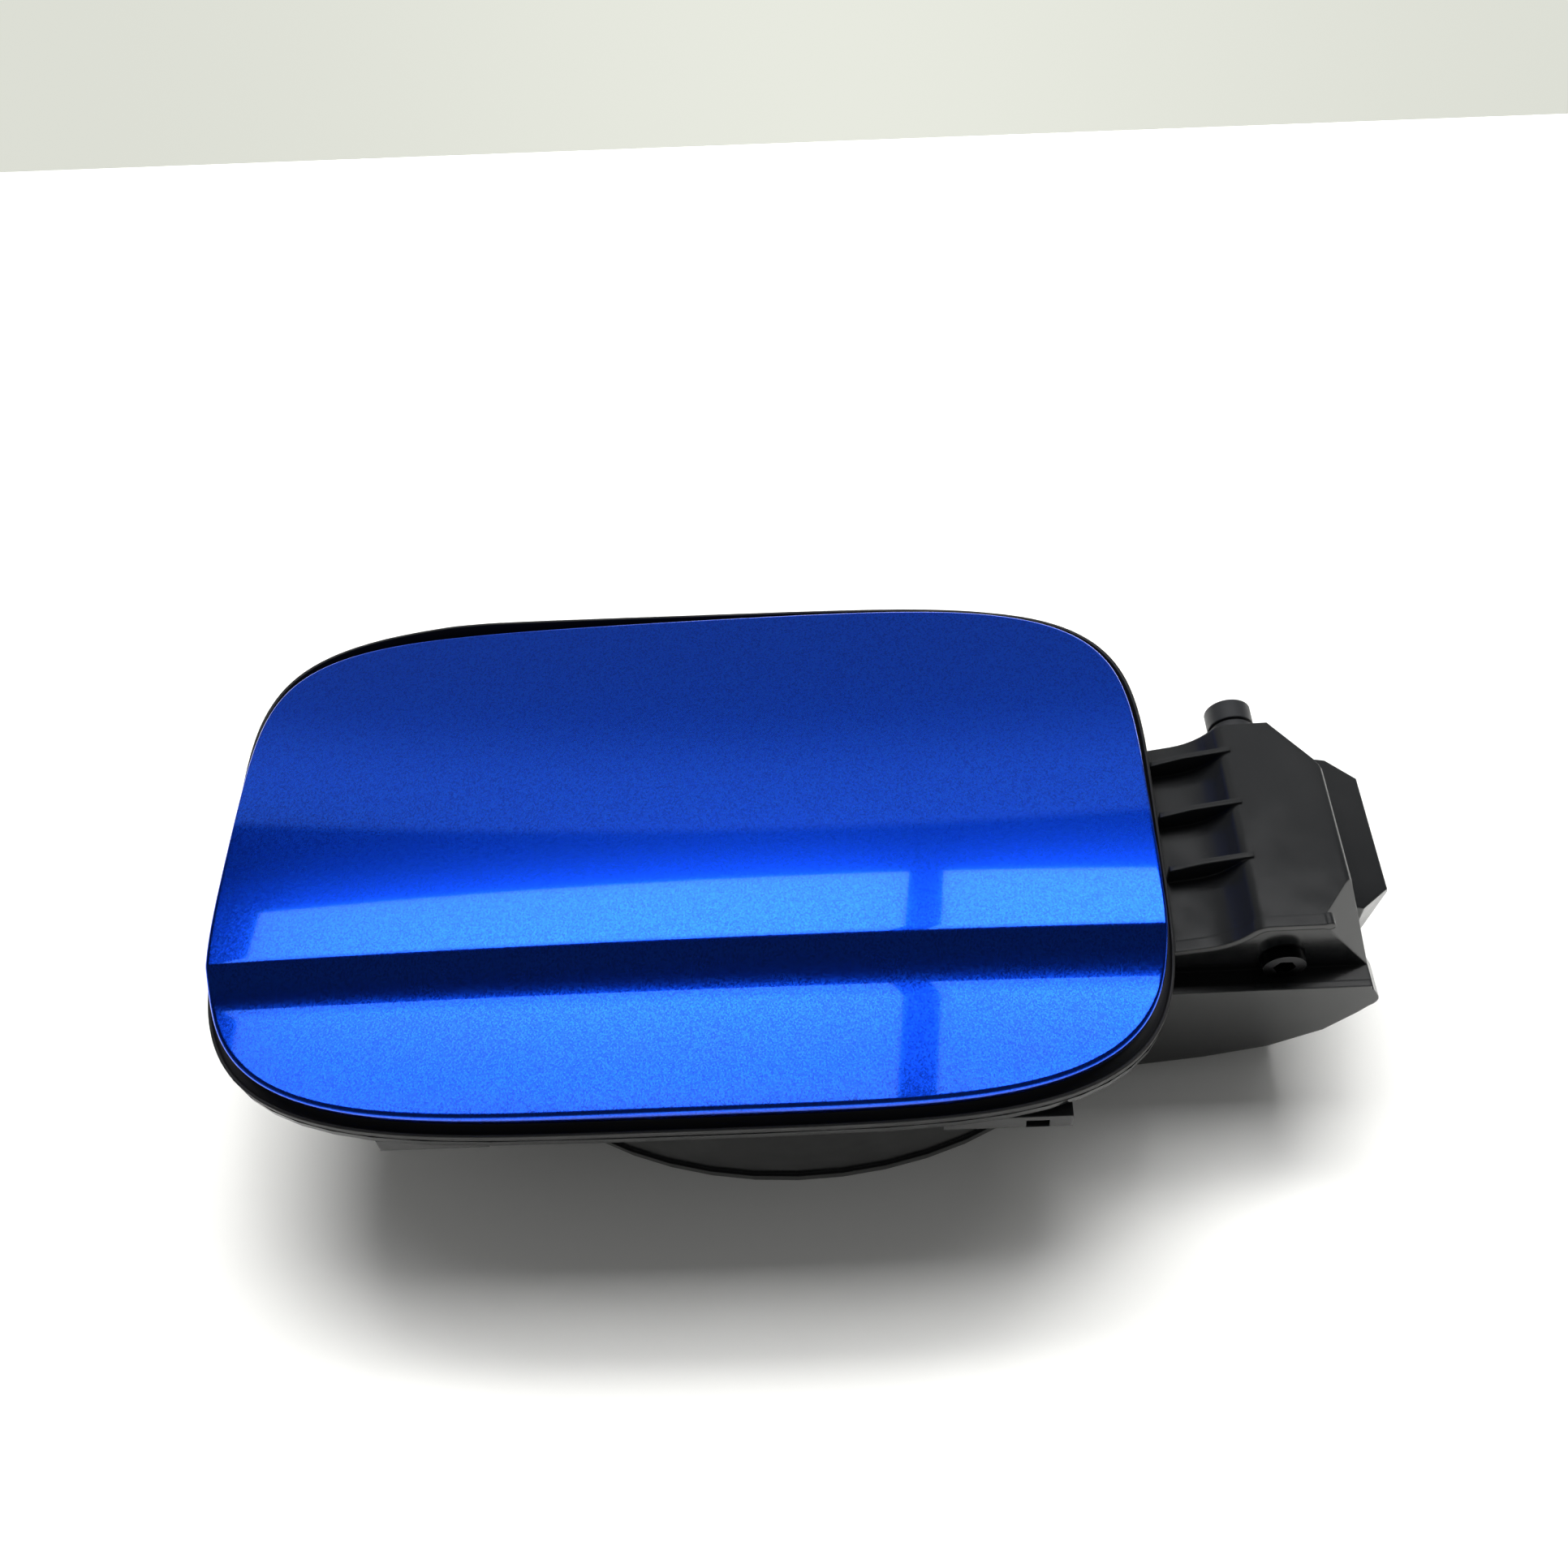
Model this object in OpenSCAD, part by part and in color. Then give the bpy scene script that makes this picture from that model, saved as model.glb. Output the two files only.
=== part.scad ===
// Car fuel door with its filler pocket and swan-neck hinge.
// Millimetres. The origin is the middle of the filler-neck bore on the plane
// that the pocket rests on. +X runs to the hinge, +Y to the door's back edge
// and +Z out through the door.

/* [Door] */
// Width of the door, from the latch edge to the hinge edge
door_w = 195; // [185:1:205]
// Height of the door, from the front edge to the back edge
door_h = 119; // [114:1:130]
// Left-right place of the door's middle, from the filler neck
door_x = -20; // [-24:1:-16]
// Front-back place of the door's middle, from the filler neck
door_y = -0.5; // [-5:0.5:3]
// Height of the crease ridge over the resting plane
ridge_z = 62; // [59:0.5:70]
// How far the crease lies behind the front edge
crease_in = 33.5; // [30:0.5:42]
// Fullness of the back left corner, 2 is an ellipse
corner_bl = 5.3; // [4:0.1:7]
// Fullness of the back right corner
corner_br = 4.8; // [4:0.1:7]
// Fullness of the front left corner
corner_fl = 4.0; // [3.2:0.1:6]
// Fullness of the front right corner
corner_fr = 4.4; // [3.2:0.1:6]
// Sheet thickness of the outer skin
skin_t = 0.8; // [0.6:0.1:1.2]
// Width of the hem that folds in under the edge
hem_w = 7; // [5:0.5:9]
// Sheet thickness of the inner panel
panel_t = 0.8; // [0.6:0.1:1.2]
// How far the inner panel's middle is pressed up from its edge
panel_up = 2; // [1.2:0.1:2.2]

/* [Outer face] */
// Radius of the face from side to side
crown_r = 2500; // [1800:50:4000]
// Radius of the face behind the crease
face_r = 600; // [450:10:1200]
// Slope just under the crease, in degrees
step_a = 30; // [20:1:40]
// Length of the hollow under the crease
step_w = 11; // [8:0.5:14]
// Slope at the end of the hollow, in degrees
low_a = 5; // [3:0.5:7]
// Slope at the front edge, in degrees
edge_a = 7; // [6:0.5:8]

/* [Rim and seal] */
// How far the rim plane lies under the crease ridge
rim_drop = 7.1; // [7:0.1:8]
// Tilt of the rim plane, back edge up, in degrees
rim_tilt = 2.6; // [1.5:0.1:3]
// Gap between the closed door and the seal
seal_gap = 0.35; // [0.3:0.05:0.6]
// How far the seal's outer lip stands out past the door
lip_out = 2.8; // [2:0.1:3.5]
// Height of the seal over the rim flange
seal_h = 3.4; // [3:0.1:4.5]
// Thickness of the rim flange
flange_t = 2; // [1.6:0.1:2.6]
// Width of the rim flange inside the door's edge
flange_in = 6.5; // [5.5:0.5:8]

/* [Pocket] */
// Wall thickness of the moulding
wall = 2; // [1.6:0.1:2.6]
// Height of the shelf that the latch hangs from
shelf_z = 40; // [38:0.5:42]
// How far the bowl's end at its foot lies inside the door's hinge edge
bowl_end_in = 4; // [2:0.5:8]
// How far the bowl's side at its foot lies inside the door's front edge
bowl_side_in = 7.5; // [7:0.5:12]
// How much the bowl widens up to the shelf
bowl_draft = 4; // [2:0.5:5]
// Height of the bowl's floor over the resting plane
floor_z = 2.6; // [2.2:0.1:4]
// Step out of the foot band round the bowl
foot_step = 0.7; // [0.4:0.1:1.2]

/* [Filler neck seal] */
// Bore that grips the filler neck
neck_d = 58; // [50:1:62]
// Length of the gripping bore
neck_len = 9; // [7:0.5:12]
// Hole in the bowl's floor
neck_hole_d = 76; // [72:1:84]

/* [Hinge] */
// How far the pin lies outside the door's edge
pin_out = 24.5; // [24:0.5:27]
// How far the pin lies under the rim plane
pin_drop = 11.2; // [11:0.1:12.5]
// Diameter of the hinge pin
pin_d = 5; // [4:0.5:6]
// Diameter of the pin's head
pin_head_d = 8.6; // [8:0.1:10]
// Key size of the pin's socket
pin_key = 4; // [3:0.5:5]
// Inner radius of the swan neck about the pin
neck_r = 32; // [31.5:0.5:33]
// Depth of the swan neck's section
arm_t = 5.5; // [5:0.1:5.8]
// Length of the arm along the pin
arm_len = 36; // [34:0.2:37]
// How far the arm's front end lies behind the crease
arm_in = 5.5; // [5:0.1:7]
// Radius of the arm's barrel on the pin
barrel_r = 7; // [6.5:0.1:7.4]
// Wall of the bushes in the barrel
bush_t = 1.5; // [1:0.1:2]

/* [Hinge box] */
// Height of the box's flat top over the pin
roof_up = 13.3; // [12.8:0.1:14.5]
// How far the box stands out past the arm's front end
box_front = 4.8; // [4.4:0.1:6]
// How far the box stands out past the arm's back end
box_back = 9; // [8:0.2:12]
// Depth of the ledge in front of the box
ledge_w = 5.7; // [4.5:0.1:7]
// How far the ledge lies under the pin
ledge_down = 5; // [4.6:0.1:6]
// Distance between the roof's ribs
rib_pitch = 13.4; // [11:0.1:14]
// Number of ribs on the roof
rib_count = 3; // [2:1:3]
// Thickness of the roof's ribs
rib_t = 1.2; // [0.8:0.1:2]

/* [Latch] */
// Distance of the latch from the door's latch edge
latch_in = 24; // [23.5:0.5:27]
// Diameter of the plunger
plunger_d = 10; // [9:0.5:11]
// How far the plunger comes out
plunger_travel = 8; // [6:0.5:8]
// Length of the plunger's hammer head
hammer_l = 13; // [11:0.5:14]
// Width of the plunger's hammer head
hammer_w = 5; // [4:0.5:6]

/* [Hidden] */
$fn = 64;

// Colours
paint = "mediumblue";
plastic = "#2b2c2e";
soft = "#18191a";
steel = "silver";

// Fits
run_gap = 0.05;
seat_gap = 0.1;
clear_gap = 0.3;

// Door and rim
rim_z = ridge_z - rim_drop;
crease_y = door_y - door_h / 2 + crease_in;
hem_top = seal_gap + skin_t;
plate_top = hem_top + panel_up;
corner_steps = 13;

// Hinge
pin_x = door_x + door_w / 2 + pin_out;
pin_z = rim_z - pin_drop;
arm_y = crease_y + arm_in;
arm_end = arm_y + arm_len;
box_y = arm_y - box_front;
box_end = arm_end + box_back;
box_len = box_end - box_y;
neck_mid = neck_r + arm_t / 2;
sweep_r = neck_r + arm_t + 1;
arm_plate_t = 3;
riser_out = 44;
arm_plate_x = [door_w / 2 - 53.5, door_w / 2 - 13.5];
arm_mid = arm_y + arm_len / 2 - door_y;
arm_hole_out = arm_len / 2 - 7;
arm_holes = [
  for (x = [arm_plate_x[0] + 8, arm_plate_x[0] + 27], y = [-arm_hole_out, arm_hole_out]) [x, arm_mid + y]
];
arm_hole_d = 5.2;
arm_screw_d = 4.6;
rib_x = lip_out - pin_out + 0.3;
tail_y = arm_y + 3;
tail_end = arm_end + 4.5;
tail_mid = [arm_y + 9.6, arm_end - 1.6];
tail = [[10, 5.5], [13, 5.5], [23.4, 2.8], [24, 0.8], [20.2, -7.2], [14, -15], [10, -15]];
tail_hollow = [[10, 3.6], [13, 3.6], [21.6, 1.4], [22, 0.6], [18.6, -6.8], [13, -13.4], [10, -13.4]];
leaf_t = 0.7;
leaf_line = [
  [21.2, 0.4], [18, 1], [14, 1.9], [10.4, 2.4], [8.6, 0.6],
  [8.5, -2.5], [9.4, -5.6], [11.6, -8.4], [14.6, -9.8]
];

// Inside of the door
striker_half = 18;
panel_in = 12;
panel_y = min(arm_y - 1 - door_y, -striker_half - 2.5);
bead_l = door_w - 91;
bead_w = 10;
bead_up = 1;
holder_x = -0.174 * door_w;
holder_l = 34;
holder_w = 16;
holder_t = 2.2;
holder_drop = 9;
holder_hook = 9;
light_holes = [for (f = [-0.28, -0.04, 0.12]) [f * door_w, door_h / 6]];
small_holes = [for (f = [-0.15, 0.03]) [f * door_w, door_h * 0.36]];

// Pocket
bowl_a = door_x + door_w / 2 - bowl_end_in;
bowl_b = door_h / 2 - bowl_side_in;
bowl_top = shelf_z + 3;
foot_h = 3;
drain_r = 4.8;
drain_bore_r = 3.2;
drain_y = -bowl_b * 0.54;
drain_z = floor_z + wall + 5;
drain_x = -bowl_a - 6.5;
drain_len = 11.5;
window_x = 0.3436 * door_w;
buffer_out = door_h / 2 - 23;
buffer_stem_r = 2.4;

// Latch
latch_x = door_x - door_w / 2 + latch_in;
latch_y = door_y;
plunger_r = plunger_d / 2;
stem_r = 3.4;
rod_top = shelf_z + 8.5;
hammer_stem_r = 2.4;
hammer_z = rod_top + 4;
hammer_t = 3;
barrel_out_r = 10.5;
cavity_r = 8.2;
cavity_z0 = 7;
cavity_z1 = shelf_z - wall - 3.7;
collar_r = 7.6;
collar_t = 2;
collar_z = cavity_z1 - clear_gap - plunger_travel - collar_t;
latch_screw_out = 14.5;
cup_z0 = rod_top + 0.9;
cup_in = hammer_l / 2 + 1.2;
cup_out = cup_in + 1.8;
striker_out = 14;
coil_turns = 6;
coil_sides = 8;
coil_steps = 14;
coil_r = 4.6;
wire_r = 0.55;
coil_z0 = cavity_z0 + 1.7;
coil_z1 = collar_z - wire_r - 0.15;

// Point on the door's edge at angle t, moved out by d. The corner fullness
// sets how square each corner is.
function corner(c, s) = s >= 0 ? (c >= 0 ? corner_br : corner_bl) : (c >= 0 ? corner_fr : corner_fl);
function edge_x(t, d) = sign(cos(t)) * (door_w / 2 + d) * pow(abs(cos(t)), 2 / corner(cos(t), sin(t)));
function edge_y(t, d) = sign(sin(t)) * (door_h / 2 + d) * pow(abs(sin(t)), 2 / corner(cos(t), sin(t)));
function outline(d) = [
  for (q = [0:3])
    for (i = [0:corner_steps])
      let (t = q * 90 + 1 + i * 88 / corner_steps)
        [edge_x(t, d), edge_y(t, d)]
];

// Oval outline of the bowl, a and b are its half length and half width
function oval(a, b) = [for (i = [0:47]) [a * cos(i * 7.5), b * sin(i * 7.5)]];

// Outer face: height over the crease at y, measured back from the crease
back_len = door_h - crease_in;
hollow_r = step_w / (sin(step_a) - sin(low_a));
hollow_z = -hollow_r * (cos(low_a) - cos(step_a));
front_r = (crease_in - step_w) / (sin(edge_a) - sin(low_a));
function rise_at(y, r) = sqrt(pow(r, 2) - pow(y, 2));
function back_z(y) = rise_at(y - back_len / 2, face_r) - rise_at(back_len / 2, face_r);
function hollow_at(y) = -hollow_r * (cos(asin(sin(step_a) + y / hollow_r)) - cos(step_a));
function front_at(y) = hollow_z - front_r * (cos(low_a) - cos(asin(sin(low_a) + (-y - step_w) / front_r)));
function face_z(y) = y >= 0 ? back_z(y) : y >= -step_w ? hollow_at(y) : front_at(y);
face_y = concat(
  [for (i = [0:3]) -crease_in - 3 + i * (crease_in + 3 - step_w) / 4],
  [for (i = [0:5]) -step_w + i * step_w / 6],
  [for (i = [0:10]) i * (back_len + 3) / 10]
);

// Band of thickness t along a line of points
function unit(v) = v / norm(v);
function side(p, i) =
  let (a = p[max(i - 1, 0)], b = p[min(i + 1, len(p) - 1)], u = unit(b - a))
    [-u[1], u[0]];
function band(p, t) = concat(
  [for (i = [0:len(p) - 1]) p[i] + side(p, i) * t / 2],
  [for (i = [len(p) - 1:-1:0]) p[i] - side(p, i) * t / 2]
);
function arc(r, a0, a1, n) = [for (i = [0:n]) let (a = a0 + (a1 - a0) * i / n) [r * cos(a), r * sin(a)]];

module in_rim() {
  translate([door_x, door_y, rim_z]) rotate([rim_tilt, 0, 0]) children();
}

// Extrudes an X-Z profile, drawn about the pin, along Y
module along_pin(y0, length) {
  translate([pin_x, y0 + length, pin_z]) rotate([90, 0, 0]) linear_extrude(length) children();
}

module pin_rod(y0, length, r) {
  translate([pin_x, y0, pin_z]) rotate([-90, 0, 0]) cylinder(r = r, h = length);
}

module rim_ring(d_out, d_in, w0, w1) {
  in_rim() translate([0, 0, w0]) difference() {
    linear_extrude(w1 - w0) polygon(outline(d_out));
    translate([0, 0, -1]) linear_extrude(w1 - w0 + 2) polygon(outline(d_in));
  }
}

module rim_prism(d, w0, w1) {
  in_rim() translate([0, 0, w0]) linear_extrude(w1 - w0) polygon(outline(d));
}

module rounded_plate(x0, x1, y0, y1, r, h) {
  translate([x0 + r, y0, 0]) cube([x1 - x0 - 2 * r, y1 - y0, h]);
  translate([x0, y0 + r, 0]) cube([x1 - x0, y1 - y0 - 2 * r, h]);
  for (x = [x0 + r, x1 - r])
    for (y = [y0 + r, y1 - r])
      translate([x, y, 0]) cylinder(r = r, h = h);
}

// Solid under the outer face, lowered by drop
module crown_block(drop) {
  half = asin((door_w / 2 + 12) / crown_r);
  translate([door_x, crease_y, ridge_z - drop - crown_r])
    rotate([90, 0, 0])
      rotate([0, 0, 90 - half])
        rotate_extrude(angle = 2 * half, $fn = 720)
          polygon(concat(
            [for (y = face_y) [crown_r + face_z(y), -y]],
            [[crown_r - 18, -back_len - 3], [crown_r - 18, crease_in + 3]]
          ));
}

// Pressed outer skin with its edge turned down and hemmed in
module door_skin() {
  color(paint) difference() {
    intersection() {
      crown_block(0);
      rim_prism(0, seal_gap, 22);
    }
    intersection() {
      crown_block(skin_t);
      rim_prism(-skin_t, hem_top, 22);
    }
    rim_prism(-hem_w, -4, hem_top + 0.4);
  }
}

// Pressed inner panel clamped in the hem
module inner_panel() {
  color(paint) difference() {
    union() {
      rim_prism(-skin_t - seat_gap, hem_top, hem_top + panel_t);
      raised_panel(0, hem_top, plate_top + panel_t);
      raised_bead(0, hem_top);
    }
    raised_panel(panel_t, hem_top - 1, plate_top);
    raised_bead(panel_t, hem_top - 1);
    in_rim() for (p = arm_holes)
      translate([p[0], p[1], 0]) cylinder(d = arm_screw_d + 0.2, h = 12);
    in_rim() for (p = light_holes)
      translate([p[0], p[1], 0]) cylinder(r = 9, h = 12);
    in_rim() for (p = small_holes)
      translate([p[0], p[1], 0]) cylinder(r = 3, h = 12);
    in_rim() for (y = [-striker_out, striker_out])
      translate([latch_x - door_x, y, 0]) cylinder(d = 3.2, h = 12);
  }
}

// Pressed-up middle of the inner panel, which stays behind the crease
module raised_panel(inset, w0, w1) {
  intersection() {
    rim_prism(-panel_in - inset, w0, w1);
    in_rim() translate([-door_w / 2, panel_y + inset, w0]) cube([door_w, door_h, w1 - w0]);
  }
}

// Long bead across the front of the inner panel
module raised_bead(inset, w0) {
  x = bead_l / 2 - inset;
  y = bead_w / 2 - inset;
  top = hem_top + panel_t + bead_up - inset;
  in_rim() translate([0, crease_y - door_y - 14, w0]) rounded_plate(-x, x, -y, y, y - 0.1, top - w0);
}

// Line of the swan neck about the pin, from the barrel round to the door
arm_line = concat(
  [[1.5, 0], [1.5, -12], [1.5, -22], [0.9, -28]],
  [for (p = arc(neck_mid, 262, 202, 9)) p],
  [[-38.4, -4], [-42.6, 3]],
  [[-riser_out, pin_drop + plate_top + 1]]
);

module hinge_arm() {
  color(plastic) difference() {
    union() {
      pin_rod(arm_y, arm_len, barrel_r);
      difference() {
        arm_neck();
        in_rim() translate([30, -door_h / 2, plate_top - arm_plate_t / 2]) cube([60, door_h, 20]);
      }
      in_rim() translate([0, 0, plate_top - arm_plate_t])
        rounded_plate(arm_plate_x[0], arm_plate_x[1], arm_y - door_y, arm_end - door_y, 3, arm_plate_t);
    }
    pin_rod(arm_y - 1, arm_len + 2, pin_d / 2 + bush_t);
    in_rim() for (p = arm_holes)
      translate([p[0], p[1], -4]) cylinder(d = arm_hole_d, h = 12);
  }
}

// Swan neck: a thin web with three deeper ribs, and triangles up to the plate
module arm_neck() {
  along_pin(arm_y, arm_len) polygon(band(arm_line, arm_t * 0.45));
  for (y = [arm_y, arm_y + arm_len / 2 - 1.5, arm_end - 3])
    along_pin(y, 3) polygon(band(arm_line, arm_t));
  for (y = [arm_y, arm_y + arm_len / 2 - 1, arm_end - 2])
    along_pin(y, 2) polygon([[-riser_out, 4], [-riser_out, roof_up], [-riser_out - 16, roof_up]]);
}

module arm_screws() {
  color(steel) in_rim() for (p = arm_holes)
    translate([p[0], p[1], plate_top - arm_plate_t]) screw(9, 2.6, arm_screw_d, arm_plate_t + panel_t + 1.2);
}

// Pan-head screw, its head under z = 0 and its shank going up
module screw(head_d, head_h, shank_d, shank_l) {
  difference() {
    union() {
      translate([0, 0, -head_h]) cylinder(d = head_d, h = head_h);
      cylinder(d = shank_d, h = shank_l);
    }
    for (a = [0, 90])
      rotate([0, 0, a]) translate([-head_d * 0.3, -0.6, -head_h - 1]) cube([head_d * 0.6, 1.2, 2.2]);
  }
}

module arm_bushes() {
  color("ivory") for (y = [arm_y, arm_end - 10])
    difference() {
      pin_rod(y, 10, pin_d / 2 + bush_t);
      pin_rod(y - 1, 12, pin_d / 2 + run_gap);
    }
}

// Slotted cup under the door that the hammer head turns in
module latch_striker() {
  color(plastic) difference() {
    union() {
      intersection() {
        translate([latch_x, latch_y, cup_z0]) cylinder(r = cup_out, h = 20);
        rim_prism(-1, -20, plate_top);
      }
      in_rim() translate([latch_x - door_x, 0, plate_top - 2]) rounded_plate(-5, 5, -striker_half, striker_half, 4.9, 2);
    }
    translate([latch_x, latch_y, cup_z0 + 2]) cylinder(r = cup_in, h = 20);
    translate([latch_x - hammer_w / 2 - 1.4, latch_y - hammer_l / 2 - 1, cup_z0 - 1])
      cube([hammer_w + 2.8, hammer_l + 2, 6]);
    in_rim() for (y = [-striker_out, striker_out])
      translate([latch_x - door_x, y, -4]) cylinder(d = 3.4, h = 12);
  }
}

module striker_screws() {
  color(steel) in_rim() for (y = [-striker_out, striker_out])
    translate([latch_x - door_x, y, plate_top - 2]) screw(6.4, 1.8, 3, 4);
}

// Bracket inside the door that the loose filler cap hangs in
module cap_holder() {
  leg_y = holder_l / 2 - 3;
  leg_w = holder_w - 4;
  color(plastic) in_rim() translate([holder_x, arm_mid, plate_top]) difference() {
    union() {
      translate([0, 0, -2]) rounded_plate(-holder_w / 2, holder_w / 2, -holder_l / 2, holder_l / 2, 3, 2);
      for (s = [-1, 1]) {
        translate([-leg_w / 2, s * (leg_y - holder_t / 2) - holder_t / 2, -holder_drop])
          cube([leg_w, holder_t, holder_drop]);
        translate([-leg_w / 2, s * (leg_y - holder_hook / 2) - holder_hook / 2, -holder_drop - holder_t + 0.2])
          cube([leg_w, holder_hook, holder_t]);
      }
    }
    translate([0, 0, -3]) cylinder(r = 3, h = 6);
  }
}

// Hinge box outline about the pin. From the door's edge the roof climbs gently,
// curls up steeply and rounds over into the flat top. t is the depth under it.
roof_curl_r = 13;
roof_round_r = 3.5;
roof_steep = 57;
roof_gentle = 11;
roof_flat_x = -4.6;
roof_mid = [roof_flat_x, roof_up - roof_round_r];
roof_out = roof_mid + (roof_round_r + roof_curl_r) * [-sin(roof_steep), cos(roof_steep)];
function roof_line(t) = concat(
  [roof_out + (roof_curl_r + t) * [sin(roof_gentle), -cos(roof_gentle)] - 8.7 * [cos(roof_gentle), sin(roof_gentle)]],
  [for (p = arc(roof_curl_r + t, roof_gentle - 90, roof_steep - 90, 6)) roof_out + p],
  [for (p = arc(roof_round_r - t, roof_steep * 0.75 + 90, 90, 3)) roof_mid + p]
);
function box_outer() = concat(
  [[-46, 4.1]], roof_line(0), [for (p = arc(2, 90, 0, 3)) p + [11.6, roof_up - 2]],
  [[18.2, -5], [20, -10], [17.7, -15], [13, -27], [8, -36]], arc(sweep_r + wall, 280, 206, 10), [[-46, -17]]
);
function box_inner() = concat(
  [[-27.5, 6]], roof_line(wall),
  [[10.8, roof_up - wall], [11.6, roof_up - 2.8], [16.1, -5.3], [17.7, -9.9]],
  [[15.7, -14.5], [11.2, -26.2], [6.6, -34.5]],
  arc(sweep_r, 276, 206, 10),
  [[-48, -17], [-48, 6]]
);
function skirt() = concat(
  [[-46, -ledge_down], [18.2, -ledge_down]], [for (p = arc(3.5, 20, -50, 4)) p + [16.7, -9.7]],
  [[17.2, -15.3], [11.7, -22.7], [1.3, -29.7], [-12, -34], [-25.6, -36.7], [-46, -37.5]]
);
function rib() =
  let (under = roof_line(1))
    concat(
      [[rib_x, 9.4], [-15, 11.7], [-5, roof_up + 0.5]],
      [for (i = [len(under) - 2:-1:1]) under[i]],
      [[rib_x, 3.5]]
    );

module bowl(inset, z0, z1) {
  rise = bowl_draft / shelf_z;
  hull() {
    translate([0, 0, z0]) linear_extrude(0.01)
      polygon(oval(bowl_a - inset + z0 * rise, bowl_b - inset + z0 * rise));
    translate([0, 0, z1 - 0.01]) linear_extrude(0.01)
      polygon(oval(bowl_a - inset + z1 * rise, bowl_b - inset + z1 * rise));
  }
}

// Box that cuts off everything under height z
module under(z) {
  translate([-200, -150, z - 100]) cube([400, 300, 100]);
}

// Snap hook under the rim, at the front (s = -1) or the back (s = 1). It slopes back in to the wall.
module hook(x0, length, s) {
  y = s * (door_h / 2 - 4.5);
  in_rim() translate([x0, 0, 0]) rotate([90, 0, 90]) linear_extrude(length)
    polygon([[y - s * 4, -7], [y + s * 3.6, -8.2], [y + s * 4.2, -12], [y, -17], [y - s * 4, -17]]);
}

module housing() {
  color(plastic) difference() {
    union() {
      difference() {
        union() {
          rim_prism(lip_out - 0.6, -seal_h - flange_t, -seal_h);
          difference() {
            rim_prism(-4.5, -30, -seal_h);
            under(shelf_z - wall);
          }
          bowl(0, 0, bowl_top);
          difference() {
            bowl(-foot_step, 0, 4);
            translate([0, 0, foot_h]) linear_extrude(4) square([300, 200], center = true);
          }
          difference() {
            along_pin(box_y, box_len) polygon(box_outer());
            back_chamfer(0);
            front_facet(0);
          }
          roof_bead();
          along_pin(box_y - ledge_w, ledge_w + wall) polygon(skirt());
          along_pin(box_y - ledge_w, 1.6)
            polygon([[-30, -6], [-30, -ledge_down + 1.3], [17.6, -ledge_down + 1.3], [18.2, -6]]);
          tail_box();
          hook(-0.313 * door_w, 22, -1);
          hook(window_x - 16, 25, -1);
          hook(-0.308 * door_w, 20, 1);
          hook(0.18 * door_w, 20, 1);
          gussets();
          drain(drain_x, 36, drain_r);
          drain(drain_x + drain_len, 24, drain_r + 1.6);
        }
        difference() {
          rim_prism(-flange_in, -30, 5);
          under(shelf_z);
        }
        bowl(wall, floor_z + wall, bowl_top + 1);
        translate([0, 0, -1]) linear_extrude(floor_z + 1) polygon(oval(bowl_a - wall, bowl_b - wall));
        difference() {
          along_pin(box_y + wall, box_len - 2 * wall) polygon(box_inner());
          back_chamfer(wall);
          front_facet(wall);
        }
        along_pin(arm_y - 1, arm_len + 2) polygon([[-48, 0], [-29, 0], [-29, 12], [-48, 12]]);
        skirt_hollow();
        along_pin(tail_mid[0], tail_mid[1] - tail_mid[0]) polygon(tail_hollow);
      }
      pin_rod(box_y + wall - 0.5, arm_y - clear_gap - box_y - wall + 0.5, 6);
      pin_rod(arm_end + clear_gap, box_end - wall - arm_end - clear_gap + 0.5, 6);
      for (i = [0:rib_count - 1])
        along_pin(box_y + 15.6 + i * rib_pitch, rib_t) polygon(rib());
      foot_ribs();
      for (s = [-1, 1])
        translate([latch_x, latch_y + s * buffer_out, shelf_z - 1]) cylinder(r = 4, h = 7);
    }
    pin_rod(box_y - 8, box_len + 16, pin_d / 2 + 0.02);
    pin_rod(box_y - 1, 1 + 2.8, pin_head_d / 2 + 0.2);
    translate([0, 0, -1]) cylinder(d = neck_hole_d, h = floor_z + wall + 2);
    translate([latch_x, latch_y, shelf_z - wall - 1]) cylinder(r = plunger_r + 4, h = wall + 2);
    for (s = [-1, 1])
      translate([latch_x, latch_y + s * latch_screw_out, shelf_z - wall - 1]) cylinder(d = 3.4, h = wall + 2);
    for (s = [-1, 1])
      translate([latch_x, latch_y + s * buffer_out, shelf_z + 1]) cylinder(r = buffer_stem_r + 0.1, h = 8);
    drain(drain_x - 14, 50, drain_bore_r);
    in_rim() translate([window_x, -door_h / 2 - 4, -12]) cube([4.5, 6.5, 2.4]);
  }
}

// Hollow behind the front skirt, open at the bottom
module skirt_hollow() {
  along_pin(box_y - ledge_w + wall, ledge_w - wall - 0.4)
    polygon([
      [-40, -ledge_down - wall], [15.6, -ledge_down - wall], [17.2, -9.6], [15, -14], [9.4, -21.4],
      [0, -30.6], [-13, -36], [-26, -40], [-40, -40]
    ]);
}

// Corner cut of the box at its back right, moved in by inset
module back_chamfer(inset) {
  translate([pin_x + 4, box_end, pin_z - 60]) rotate([0, 0, -53])
    translate([-10, -inset, 0]) cube([50, 30, 90]);
}

// Three-sided facet on the box at its front right, under the flat top, moved in by inset
module front_facet(inset) {
  translate([pin_x + 13.3, box_y + 10.8, pin_z + roof_up]) rotate([0, 0, -37.6]) rotate([0, -29.9, 0])
    translate([-inset, -40, -50]) cube([40, 90, 90]);
}

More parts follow.
